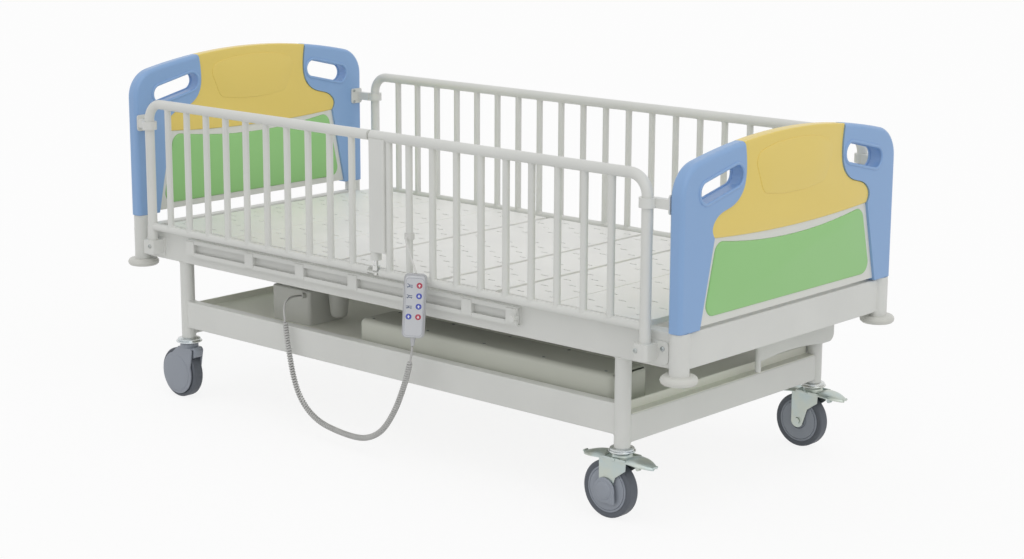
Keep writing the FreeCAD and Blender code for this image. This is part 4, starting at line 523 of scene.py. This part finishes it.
# --- finishes
def powder_coat(name, colour, shine=0.36):
    """Powder-coated steel: faint mottling, an orange-peel skin and uneven gloss."""
    skin = new_skin(name)
    point = skin.place()
    mottle = skin.noise(point, scale=5, detail=4)
    peel = skin.noise(point, scale=520, detail=2)
    streaks = skin.noise(skin.place(stretch=(1, 1, 6)), scale=38, detail=5, roughness=0.65)
    return skin.cover(base_color=skin.tones(mottle.above(0.5, soft=0.5), colour, 0.965, 1.02),
                      roughness=shine + 0.1 * mottle + 0.12 * streaks.above(0.66, soft=0.1),
                      normal=skin.bump(peel, depth=0.00016))


def moulded(name, colour, rough=0.34, grain=700, depth=0.00008, coat=0.25):
    """Moulded plastic: soft sink marks, a fine grain and a thin gloss that is uneven."""
    skin = new_skin(name)
    point = skin.place()
    cloud = skin.noise(point, scale=3.5)
    sink = skin.noise(point, scale=9, detail=1)
    fine = skin.noise(point, scale=grain, detail=2)
    return skin.cover(base_color=skin.tones(cloud, colour, 0.97, 1.025), roughness=rough + 0.12 * cloud,
                      coat_weight=coat * (0.6 + 0.8 * sink), coat_roughness=0.18,
                      normal=skin.bump(fine, depth, skin.bump(sink, depth=0.0012)))


def zinc_plate(name, colour, rough=0.3):
    """Bright zinc on pressed steel: a fine drawn grain with faint warm and cool patches."""
    skin = new_skin(name)
    patch = skin.noise(skin.place(), scale=26)
    grain = skin.noise(skin.place(stretch=(1, 1, 14)), scale=240)
    cool, warm = np.array(colour) * (0.93, 0.97, 1.0), np.array(colour) * (1.0, 0.98, 0.93)
    base = skin.mix(patch.above(0.5, soft=0.35), cool, warm)
    return skin.cover(base_color=base, metallic=0.92 + 0.06 * patch, roughness=rough + 0.2 * grain,
                      normal=skin.bump(grain, depth=0.00004))


def rubber(name, colour, rough=0.55):
    """Dull rubber: a fine bloom and a soft skin texture."""
    skin = new_skin(name)
    point = skin.place()
    bloom = skin.noise(point, scale=30, detail=4, roughness=0.6)
    fine = skin.noise(point, scale=900, detail=2)
    return skin.cover(base_color=skin.tones(bloom, colour, 0.93, 1.06), roughness=rough + 0.15 * bloom,
                      normal=skin.bump(fine, depth=0.00006))


def wheel_skin(name, centre, tread, hub):
    """Tread and hub of one wheel, told apart by the distance from the axle."""
    skin = new_skin(name)
    point = skin.place(centre=centre)
    along, up = [skin.node("ShaderNodeSeparateXYZ", [point], output=axis) for axis in "XZ"]
    radius = (along * along + up * up) ** 0.5
    bloom = skin.noise(point, scale=26, detail=4, roughness=0.6)
    fine = skin.noise(point, scale=800, detail=2)
    on_tread = radius.above(TREAD_START, soft=0.0006)
    base = skin.mix(on_tread, skin.tones(bloom, hub, 0.94, 1.04), skin.tones(bloom, tread, 0.9, 1.08))
    return skin.cover(base_color=base, roughness=0.4 + 0.12 * on_tread + 0.1 * bloom,
                      normal=skin.bump(fine, depth=0.00006))


# --- operators
class COT_OT_steelwork(bpy.types.Operator):
    """Powder coat on beams, legs, rails and deck"""

    bl_idname = "cot.steelwork"
    bl_label = "Paint the steelwork"

    def execute(self, context):
        finish = context.scene.cot_finish
        dress(powder_coat("frame_paint", finish.steel),
              "upper_side_beams", "upper_end_beams", "corner_sockets", "chassis_legs", "lower_side_beams",
              "lower_end_beams", "foot_cross_plate", "deck_cross_tubes", "accessory_rail", "rail_brackets")
        dress(powder_coat("rail_paint", finish.steel, 0.3),
              "head_gate", "foot_gate", "far_rail", "rail_collars")
        # the deck's plates get a lighter copy of the steel paint: painted light on them
        dress(powder_coat("deck_paint", finish.deck, 0.4),
              "back_section", "seat_section", "thigh_section", "calf_section")
        return {"FINISHED"}


class COT_OT_welds(bpy.types.Operator):
    """Weld beads of the rails and of the chassis, and sleeves round the boards' stubs"""

    bl_idname = "cot.welds"
    bl_label = "Lay the weld beads"

    def execute(self, context):
        colour = context.scene.cot_finish.steel
        coat = powder_coat("weld_paint", colour, 0.34)
        for name, body, bars, y in (("head_gate_welds", "head_side_gate", HEAD_BARS, -RAIL_Y),
                                    ("foot_gate_welds", "foot_side_gate", FOOT_BARS, -RAIL_Y),
                                    ("far_rail_welds", "frame", FAR_BARS, RAIL_Y)):
            beads = [bar_weld(x, y, *tube, BAR_R, above)
                     for tube, above in ((TOP_TUBE, -1), (BOTTOM_TUBE, 1)) for x in bars]
            piece(name, beads, body, coat)
        beads, sleeves = [], []
        ring = circle(LEG_WELD_POINTS)
        for x, y in CORNERS:
            leg = np.array([x * LEG_X, y * LEG_Y, 0])
            beads.append(bead(leg + ring * LEG_R + (0, 0, BEAM_FOOT), ring, LEG_WELD_R))
            beads.append(self.beam_weld(leg, (-x, 0), *LOWER_SIDE))
            beads.append(self.beam_weld(leg, (0, -y), *LOWER_END))
            top = STUB_TOP[x]
            sleeve = [(SLEEVE_BORE, SLEEVE_FOOT), (SLEEVE_R, SLEEVE_FOOT), (SLEEVE_R, top - 0.0009),
                      (SLEEVE_R - 0.0013, top), (SLEEVE_BORE, top)]
            sleeves.append(turned(sleeve, (x * BOARD_X, y * SOCKET_Y, 0), UPRIGHT, 48))
        piece("stub_sleeves", sleeves, "frame", powder_coat("sleeve_paint", colour))
        piece("frame_welds", beads, "frame", powder_coat("frame_weld_paint", colour))
        return {"FINISHED"}

    def beam_weld(self, leg, towards, bottom, top, half):
        """Bead round the end of a rectangular beam, laid on the leg's cylinder: reach = sqrt(R^2 - s^2)."""
        outline = round_box(half, bottom, top, BEAM_CORNER, 3)
        outline = np.concatenate([np.linspace(first, second, 4, endpoint=False)
                                  for first, second in zip(outline, np.roll(outline, -1, 0))])
        sideways = outline[:, :1]
        reach = np.sqrt(LEG_R ** 2 - np.minimum(np.abs(sideways), LEG_R) ** 2)
        outward = reach * (*towards, 0) + sideways * (-towards[1], towards[0], 0)
        path = leg + outward
        path[:, 2] = outline[:, 1]
        return bead(path, unit(outward), WELD_R)


class COT_OT_fasteners(bpy.types.Operator):
    """Screws of the rail cups, keepers, hood and power unit"""

    bl_idname = "cot.fasteners"
    bl_label = "Drive the screws"

    def execute(self, context):
        heads = [bolt_head((x * along, y * across, up), (x * ahead, y * aside, 0), *size)
                 for x, y in CORNERS for (along, across, up), (ahead, aside), *size in CORNER_SCREWS]
        bright = zinc_plate("screw_zinc", paint(186, 190, 190), 0.32)
        piece("rail_screws", heads, "frame", bright)
        low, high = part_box("base_cover")
        lid = [bolt_head((x, y, high.z), UPRIGHT, *HOOD_SCREW) for y in HOOD_SCREWS_Y
               for x in np.linspace(low.x + HOOD_SCREW_INSET, high.x - HOOD_SCREW_INSET, 5)]
        lid += [bolt_head((x, y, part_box("control_box")[1].z), UPRIGHT, *BOX_SCREW)
                for x in BOX_SCREWS_X for y in BOX_SCREWS_Y]
        dull = zinc_plate("cover_screw_zinc", paint(150, 152, 150), 0.4)
        piece("cover_screws", lid, "frame", dull)
        return {"FINISHED"}


class COT_OT_boards(bpy.types.Operator):
    """Moulded plastic of the head and foot boards and the corner bumpers"""

    bl_idname = "cot.boards"
    bl_label = "Colour the boards"

    def execute(self, context):
        finish = context.scene.cot_finish
        blue = moulded("board_blue", finish.board_blue)
        dress(blue, "headboard_frame", "footboard_frame")
        panels = (("top", moulded("board_yellow", finish.board_yellow), "board_yellow"),
                  ("lower", moulded("board_green", finish.board_green), "board_green"))
        for board, end, peak in BOARDS:
            rims = [self.hand_rim(side, peak, end * BOARD_X + face * (BOARD_HALF - LIP_SUNK), face)
                    for side in (-1, 1) for face in (-1, 1)]
            piece(board + "_hand_rims", rims, "frame", blue)
        for board, _, peak in BOARDS:
            for level, colour, slot in panels:
                node = f"{board}_{level}_panel"
                low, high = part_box(node)
                panel = plate(loop_of(node, 0, high.x), 0, low.x, high.x, BOARD_RIM, 4)
                piece(f"{board}_{level}_field", [panel], "frame", colour, node)
                if level == "top":
                    spans = (high.x - EMBOSS_ROOT, high.x + EMBOSS), (low.x - EMBOSS, low.x + EMBOSS_ROOT)
                    faces = [plate(self.embossed(peak), 0, *span, EMBOSS, 3) for span in spans]
                    piece(board + "_embossing", faces, "frame", colour)
        dress(moulded("board_white", finish.board_white), "board_cores")
        dress(moulded("bumper_white", finish.bumper, rough=0.5, grain=500), "corner_bumpers")
        return {"FINISHED"}

    def embossed(self, peak):
        """Outline of the raised field: wide at its arched top, narrow at its dished foot, corners round."""
        return filleted(FIELD[:, :2] * (1, -1) + (0, peak), FIELD[:, 2])

    def hand_rim(self, side, peak, x, face):
        """Soft lip round a hand hole: a bead along the slot, half sunk in the board's face."""
        inner, outer = [np.array((across, peak - depth)) for across, depth in HAND_HOLE]
        tilt = degrees(atan2(outer[1] - inner[1], outer[0] - inner[0]))
        slot = np.concatenate([arc(inner, HAND_HOLE_R, tilt + 90, tilt + 270, 20),
                               arc(outer, HAND_HOLE_R, tilt - 90, tilt + 90, 20)])
        path = np.column_stack([np.full(len(slot), x), side * slot[:, 0], slot[:, 1]])
        return bead(path, (face, 0, 0), LIP_R, 12)


class COT_OT_chassis_plastics(bpy.types.Operator):
    """Pan with its hems, hood, power unit, drives and bright parts"""

    bl_idname = "cot.chassis_plastics"
    bl_label = "Finish pan, hood and drives"

    def execute(self, context):
        finish = context.scene.cot_finish
        # the pan's colour is made lighter, painted light in the shade under the bed
        pan = moulded("tray_plastic", finish.pan, 0.55, **COARSE)
        dress(pan, "base_tray")
        for name, end in (("pan_hem_head", -1), ("pan_hem_foot", 1)):
            strip = plate(PAN_HEM * (end, 1), 1, -PAN_HEM_HALF, PAN_HEM_HALF, 0.0004)
            piece(name, [strip], "frame", pan)
        dress(moulded("hood_plastic", finish.hood, 0.55, **COARSE), "base_cover")
        dress(moulded("box_grey", paint(206, 207, 201), rough=0.5, grain=500, depth=0.0002, coat=0.0),
              "control_box", "actuator_bodies")
        dress(zinc_plate("bright_chrome", paint(214, 216, 218), 0.12),
              "back_actuator_rod", "leg_actuator_rod", "gate_latch", "caster_stems")
        dress(zinc_plate("pin_zinc", paint(190, 194, 192)), "knee_pin", "pivot_pins")
        return {"FINISHED"}


class COT_OT_casters(bpy.types.Operator):
    """Wheels, steel forks with pedals, and moulded housings"""

    bl_idname = "cot.casters"
    bl_label = "Finish the casters"

    def execute(self, context):
        finish = context.scene.cot_finish
        zinc = zinc_plate("fork_zinc", paint(196, 204, 200))
        housing = moulded("housing_grey", finish.hub, **HUB_PLASTIC, depth=0.00015)
        for where in ("head_near", "head_far", "foot_near", "foot_far"):
            low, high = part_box("wheel_" + where)
            centre = (low + high) / 2
            stem = np.array([centre.x + WHEEL_X, centre.y, 0])
            dress(wheel_skin("wheel_" + where, tuple(centre), finish.rubber, finish.hub), "wheel_" + where)
            dress(zinc, "axle_" + where)
            faces = [turned(outline, centre, (0, side, 0), 64) for side in (-1, 1) for outline in HUB_FACE]
            grey = moulded("hub_face_grey_" + where, finish.hub, **HUB_PLASTIC, depth=0.0001)
            piece("hub_face_" + where, faces, "roller_" + where, grey)
            if where.startswith("foot"):
                dress(zinc, "fork_" + where)
                piece("pedal_plate_" + where, self.pedal(stem), "brake_" + where, zinc,
                      "pedal_" + where)
                cap = self.hub_cap(centre, -1 if where.endswith("near") else 1)
                piece("hub_cap_" + where, cap, "caster_" + where, housing)
            else:
                piece("shell_" + where, self.shell(centre, stem), "caster_" + where, housing,
                      "housing_" + where)
            ring = turned(FOOT_FLANGE if where.startswith("foot") else HEAD_FLANGE, stem, UPRIGHT, 40)
            chrome = zinc_plate("flange_chrome_" + where, paint(210, 212, 212), 0.16)
            piece("flange_" + where, [ring], "frame", chrome)
        return {"FINISHED"}

    def pedal(self, stem):
        """Two wings round the neck, joined by side straps on pins, with the cam bolt under the front wing."""
        parts = [part for ahead, reach in WINGS for part in self.wing(stem, ahead, reach)]
        parts += walls(STRAP + (stem[0], 0), stem[1], *STRAP_Y, 0.0006)
        for side in (-1, 1):
            parts.append(turned(PEDAL_PIN, stem + (0, side * STRAP_Y[1], PEDAL_Z), (0, side, 0), 16))
        parts.append(turned(CAM_BOLT, stem + (CAM_BOLT_X, 0, CAM_BOLT_Z), (0, 1, 0), 24, (1, 2, 5, 6)))
        return parts + walls(CAM_CHEEK + (stem[0], 0), stem[1], *CHEEK_Y, 0.0006)

    def wing(self, stem, ahead, reach):
        """Domed wing from the neck to its rolled tip, on one side of the stem.

        Over its width v it is domed by 1 - (v / half width)^2, and it droops by its share of the way ^ 1.4.
        """
        across, share = np.linspace(-1, 1, 13), np.linspace(0, 1, 17)
        taper = np.clip((share - 0.45) / 0.5, 0, 1) ** 1.5
        end_round = 1 - np.clip((share - 0.9) / 0.1, 0, 1) ** 2 * 0.75
        half = (0.0345 - 0.006 * share - 0.0165 * taper) * np.sqrt(end_round)
        dome = 0.003 * (1 - share) + 0.006 * np.sin(pi * share ** 0.8)
        top = WING_Z + dome[:, None] * (1 - across ** 2) - 0.01 * share[:, None] ** 1.4 - 0.004 * across ** 8
        along = ahead * (WING_START + share * (reach - WING_START))
        upper = np.stack([stem[0] + along[:, None] + 0 * across, stem[1] + half[:, None] * across, top], -1)
        rows = np.concatenate([upper, upper[:, ::-1] - (0, 0, SHEET)], 1)
        count = rows.shape[1]
        faces = grid_faces(len(share), count, False, True)
        faces += [list(range(count)), [len(share) * count - 1 - number for number in range(count)]]
        tip = stem + (ahead * (reach - 0.001), 0, TIP_Z)
        return [(rows.reshape(-1, 3), faces), turned(WING_TIP, tip, (0, 1, 0), 12)]

    def hub_cap(self, centre, outer):
        """Round boss over the axle's outer end, hollow over the axle's head, with a tail that points down."""
        face = centre.y + outer * HUB_CAP_Y
        tail = np.concatenate([arc((0.0265, -0.0265), 0.0075, -115, 25, 8),
                               [(0.0315, 0.004), (0.014, 0.006), (0.006, -0.014), (-0.004, -0.0315)]])
        return [turned(HUB_CAP, (centre.x, face, centre.z), (0, outer, 0), 48),
                *walls(tail + (centre.x, centre.z), face, *HUB_TAIL_Y, 0.0012, sides=[outer])]

    def shell(self, centre, stem):
        """Moulded wheel housing: two ringed discs, a crown over the wheel, a nose, a neck round the stem."""
        outline = np.concatenate([arc((-WHEEL_X, centre.z), 0.064, 108, 380, 48),
                                  arc((0.025, 0.1475), 0.011, 0, 80, 6),
                                  arc((-0.023, 0.1525), 0.006, 90, 135, 4)])
        parts = walls(outline + (stem[0], 0), centre.y, *SHELL_FACE, 0.0022, 4)
        parts += [turned(SHELL_RING, centre + Vector((0, side * SHELL_FACE[1], 0)), (0, side, 0), 64)
                  for side in (-1, 1)]
        parts.append(plate(SHELL_CROWN + stem[:2], 2, *CROWN_Z, 0.0014))
        parts.append(plate(SHELL_NOSE + (stem[0], 0), 1, centre.y - NOSE_HALF, centre.y + NOSE_HALF, 0.0022))
        return parts + [turned(SHELL_NECK, stem, UPRIGHT, 40)]


class COT_OT_handset(bpy.types.Operator):
    """Handset shells, keys and the signs on them"""

    bl_idname = "cot.handset"
    bl_label = "Finish the handset"

    def execute(self, context):
        finish = context.scene.cot_finish
        dress(moulded("handset_grey", finish.handset, 0.45, **SATIN), "handset_back_shell")
        dress(moulded("handset_face", paint(206, 208, 212), 0.42, **SATIN), "handset_front_shell")
        dress(rubber("strap_rubber", paint(214, 214, 211), 0.45), "handset_hook")
        for colour, names in KEY_COLOURS.items():
            material = moulded("key_" + colour, getattr(finish, "key_" + colour), rough=0.35, grain=900)
            dress(material, *["button_" + name for name in names])
            rims = [turned(KEY_RIM, (x, KEY_FACE, z), (0, -1, 0), 32) for x, z in map(KEYS.get, names)]
            piece(colour + "_key_rims", self.hung(rims), "foot_side_gate", material)
        pale = moulded("key_sign_white", paint(226, 228, 232), rough=0.4, grain=900)
        for name, place in KEYS.items():
            arrow = ARROW * (1, -1 if name in ARROW_DOWN else 1) + place
            sign = plate(arrow, 1, KEY_TOP - 0.00025, KEY_TOP + 0.0003, 0.0001, 1)
            piece("key_sign_" + name, self.hung([sign]), "key_" + name, pale)
        drawn = [strip for z, tilt in PICTOGRAMS for strip in self.bed_sign((PICTOGRAM_X, z), tilt)]
        piece("key_pictograms", self.hung(drawn), "foot_side_gate",
              moulded("pictogram_ink", paint(92, 104, 132), **INK))
        outline = round_box(BORDER_HALF, -BORDER_TALL, BORDER_TALL, BORDER_CORNER, 8)
        border = bead(np.insert(outline, 1, KEY_FACE, axis=1), (0, -1, 0), BORDER_R)
        piece("face_border", self.hung([border]), "foot_side_gate",
              moulded("face_line_ink", paint(146, 150, 160), **INK))
        return {"FINISHED"}

    def hung(self, parts):
        """Parts from the handset's own frame to where it hangs."""
        turn, move = np.array(HANDSET_PLACE.to_3x3()).T, np.array(HANDSET_PLACE.translation)
        return [(points @ turn + move, faces) for points, faces in parts]

    def bed_sign(self, place, tilt):
        """Bed of thin raised strips: base, legs, mattress, prop and a back part at a tilt in degrees."""
        tilt = radians(tilt)
        tip = np.array(BED_HINGE) + (-BED_BACK * cos(tilt), BED_BACK * sin(tilt))
        strips = []
        for line in [*BED, (BED_HINGE, tip)]:
            first, second = np.array(line) + place
            ahead = unit(second - first)
            side = np.array([-ahead[1], ahead[0]]) * STRIP_HALF
            strips.append(plate([first - side, second - side, second + side, first + side], 1,
                                KEY_FACE - 0.0002, KEY_FACE + 0.0002, 0.0001, 1))
        return strips


BOX_LEAD = [(-0.415, -0.3463, 0.366), (-0.413, -0.375, 0.37), (-0.402, -0.408, 0.37), (-0.386, -0.437, 0.36),
            (-0.3665, -0.456, 0.343)]
COIL = [(-0.363, -0.456, 0.319), (-0.356, -0.456, 0.271), (-0.344, -0.457, 0.217), (-0.328, -0.458, 0.156),
        (-0.303, -0.459, 0.108), (-0.264, -0.46, 0.072), (-0.213, -0.462, 0.05), (-0.142, -0.465, 0.041),
        (-0.071, -0.468, 0.039), (-0.02, -0.471, 0.047), (0.03, -0.474, 0.071), (0.068, -0.478, 0.107),
        (0.105, -0.482, 0.159), (0.132, -0.486, 0.21), (0.156, -0.491, 0.258), (0.175, -0.498, 0.304)]
HANDSET_LEAD = [(0.181, -0.5004, 0.319), (0.188, -0.5045, 0.334), (0.1939, -0.5088, 0.3505)]


def smooth_curve(name, points, thickness=0.0):
    """NURBS curve of order 3 that runs from the first point to the last."""
    curve = bpy.data.curves.new(name, "CURVE")
    curve.dimensions = "3D"
    curve.bevel_depth = thickness / 2
    curve.bevel_resolution = 3
    spline = curve.splines.new("NURBS")
    spline.points.add(len(points) - 1)
    spline.points.foreach_set("co", np.column_stack([points, np.ones(len(points))]).ravel())
    spline.order_u = 3
    spline.use_endpoint_u = True
    return curve, bpy.data.objects.new(name, curve)


def line_of(points, count_per_point=24):
    """Points along the smooth line that a route's NURBS spline draws."""
    curve, carrier = smooth_curve("route", points)
    curve.resolution_u = count_per_point
    mesh = bpy.data.meshes.new_from_object(carrier)
    line = np.array([vertex.co for vertex in mesh.vertices])
    bpy.data.objects.remove(carrier)
    bpy.data.meshes.remove(mesh)
    bpy.data.curves.remove(curve)
    return line


def helix_round(line, radius, pitch, steps):
    """Turns round a line: the centre moves along it while the point circles it.

    The circle's radius grows from nothing over the first turn and shrinks over the last.
    """
    along = np.concatenate([[0], np.cumsum(np.linalg.norm(np.diff(line, axis=0), axis=1))])
    count = int(along[-1] / pitch) * steps
    distance = np.linspace(0, along[-1], count + 1)
    centre = np.column_stack([np.interp(distance, along, line[:, axis]) for axis in range(3)])
    heading = unit(np.gradient(centre, axis=0))
    outward = unit(np.cross(heading, (0.0, 1.0, 0.0)))
    sideways = np.cross(heading, outward)
    index = np.arange(count + 1)[:, None]
    turn = 2 * pi * index / steps
    grown = radius * np.minimum(1, np.minimum(index, count - index) / steps)
    return centre + grown * (outward * np.cos(turn) + sideways * np.sin(turn))


class COT_OT_cord(bpy.types.Operator):
    """Curly cord from the power unit to the handset"""

    bl_idname = "cot.cord"
    bl_label = "Coil the handset's cord"

    def execute(self, context):
        sizes = context.scene.cot_cord
        radius = (sizes.coil - sizes.strand) / 2
        coil = helix_round(line_of(COIL), radius, sizes.pitch, sizes.steps)
        route = np.concatenate([BOX_LEAD, coil, HANDSET_LEAD])
        curve, cord = smooth_curve("handset_cord", route, sizes.strand)
        curve.resolution_u = 2
        curve.use_fill_caps = True
        curve.materials.append(rubber("cord_grey", context.scene.cot_finish.cord, 0.42))
        context.scene.collection.objects.link(cord)
        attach(cord, "frame")
        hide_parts("curly_cord", "cord_leads")
        return {"FINISHED"}


class COT_OT_studio(bpy.types.Operator):
    """Camera, pale floor, white surroundings and soft lamps"""

    bl_idname = "cot.studio"
    bl_label = "Set up the studio"

    def execute(self, context):
        scene = context.scene
        light = scene.cot_studio
        scene.view_settings.view_transform = "Standard"
        self.camera(scene)
        self.floor(scene, light.bounce)
        self.surroundings(scene, light.dome)
        for name, (towards, spread) in LAMPS.items():
            self.lamp(scene, name + "_lamp", towards, getattr(light, name), spread)
        return {"FINISHED"}

    def camera(self, scene):
        lens = bpy.data.cameras.new("camera")
        lens.lens = PICTURE_FOCUS / PICTURE_WIDTH * lens.sensor_width
        camera = bpy.data.objects.new("camera", lens)
        turns = ((CAMERA_TURN, "Z"), (pi / 2 - CAMERA_RISE, "X"), (CAMERA_ROLL, "Z"))
        aim, level, roll = [Matrix.Rotation(angle, 4, axis) for angle, axis in turns]
        camera.matrix_world = Matrix.Translation(CAMERA_PLACE) @ aim @ level @ roll
        scene.collection.objects.link(camera)
        scene.camera = camera

    def floor(self, scene, bounce):
        """Flat floor that looks white from the camera and keeps the soft shadow of the cot."""
        corners = [(x * FLOOR_HALF, y * FLOOR_HALF, 0) for x, y in ((-1, -1), (1, -1), (1, 1), (-1, 1))]
        mesh = bpy.data.meshes.new("floor")
        mesh.from_pydata(corners, [], [(0, 1, 2, 3)])
        floor = bpy.data.objects.new("floor", mesh)
        scene.collection.objects.link(floor)
        skin = new_skin("floor")
        seen = self.seen(skin)
        cloud = skin.noise(skin.place(), scale=0.8, detail=2)
        lit = skin.mix(cloud, (bounce * 0.98,) * 3, (bounce * 1.02,) * 3)
        shaded = skin.node("ShaderNodeBsdfDiffuse", {"Color": skin.mix(seen, lit, (1, 1, 1))})
        glow = skin.node("ShaderNodeEmission", {"Color": (1, 1, 1)})
        mixed = skin.node("ShaderNodeMixShader", [seen * FLOOR_GLOW, shaded, glow])
        skin.node("ShaderNodeOutputMaterial", [mixed])
        mesh.materials.append(skin.owner)

    def seen(self, skin):
        """1 for rays from the camera, in reflections and through glass, 0 for light that is scattered."""
        camera, glossy, clear = [skin.node("ShaderNodeLightPath", output=name)
                                 for name in ("Is Camera Ray", "Is Glossy Ray", "Is Transmission Ray")]
        return camera.math("MAXIMUM", glossy.math("MAXIMUM", clear))

    def surroundings(self, scene, strength):
        """White to the camera and in reflections, and an even dome of light for everything else."""
        scene.world = bpy.data.worlds.new("surroundings")
        skin = Skin(scene.world)
        level = strength + self.seen(skin) * (1 - strength)
        light = skin.node("ShaderNodeBackground", {"Color": (1, 1, 1), "Strength": level})
        skin.node("ShaderNodeOutputWorld", [light])

    def lamp(self, scene, name, towards, strength, spread):
        data = bpy.data.lights.new(name, "SUN")
        data.energy = strength
        data.angle = radians(spread)
        lamp = bpy.data.objects.new(name, data)
        lamp.rotation_mode = "QUATERNION"
        lamp.rotation_quaternion = Vector(towards).to_track_quat("Z", "Y")
        scene.collection.objects.link(lamp)


# --- panel and registration
STEPS = [COT_OT_steelwork, COT_OT_welds, COT_OT_fasteners, COT_OT_boards, COT_OT_chassis_plastics,
         COT_OT_casters, COT_OT_handset, COT_OT_cord, COT_OT_studio]
SETTINGS = {"cot_finish": CotFinish, "cot_cord": CotCord, "cot_studio": CotStudio}


class COT_PT_sidebar(bpy.types.Panel):
    """Settings and steps of the cot"""

    bl_idname = "COT_PT_sidebar"
    bl_label = "Cot"
    bl_space_type = "VIEW_3D"
    bl_region_type = "UI"
    bl_category = "Cot"

    def draw(self, context):
        for name, group in SETTINGS.items():
            box = self.layout.box()
            box.label(text=group.__doc__)
            for setting in group.__annotations__:
                box.prop(getattr(context.scene, name), setting)
        for step in STEPS:
            self.layout.operator(step.bl_idname)


CLASSES = [*SETTINGS.values(), *STEPS, COT_PT_sidebar]


def register():
    for each in CLASSES:
        bpy.utils.register_class(each)
    for name, group in SETTINGS.items():
        setattr(bpy.types.Scene, name, PointerProperty(type=group))


def unregister():
    for name in SETTINGS:
        delattr(bpy.types.Scene, name)
    for each in reversed(CLASSES):
        bpy.utils.unregister_class(each)


def main():
    register()
    for step in STEPS:
        getattr(bpy.ops.cot, step.bl_idname.split(".")[1])()


if __name__ == "__main__":
    main()
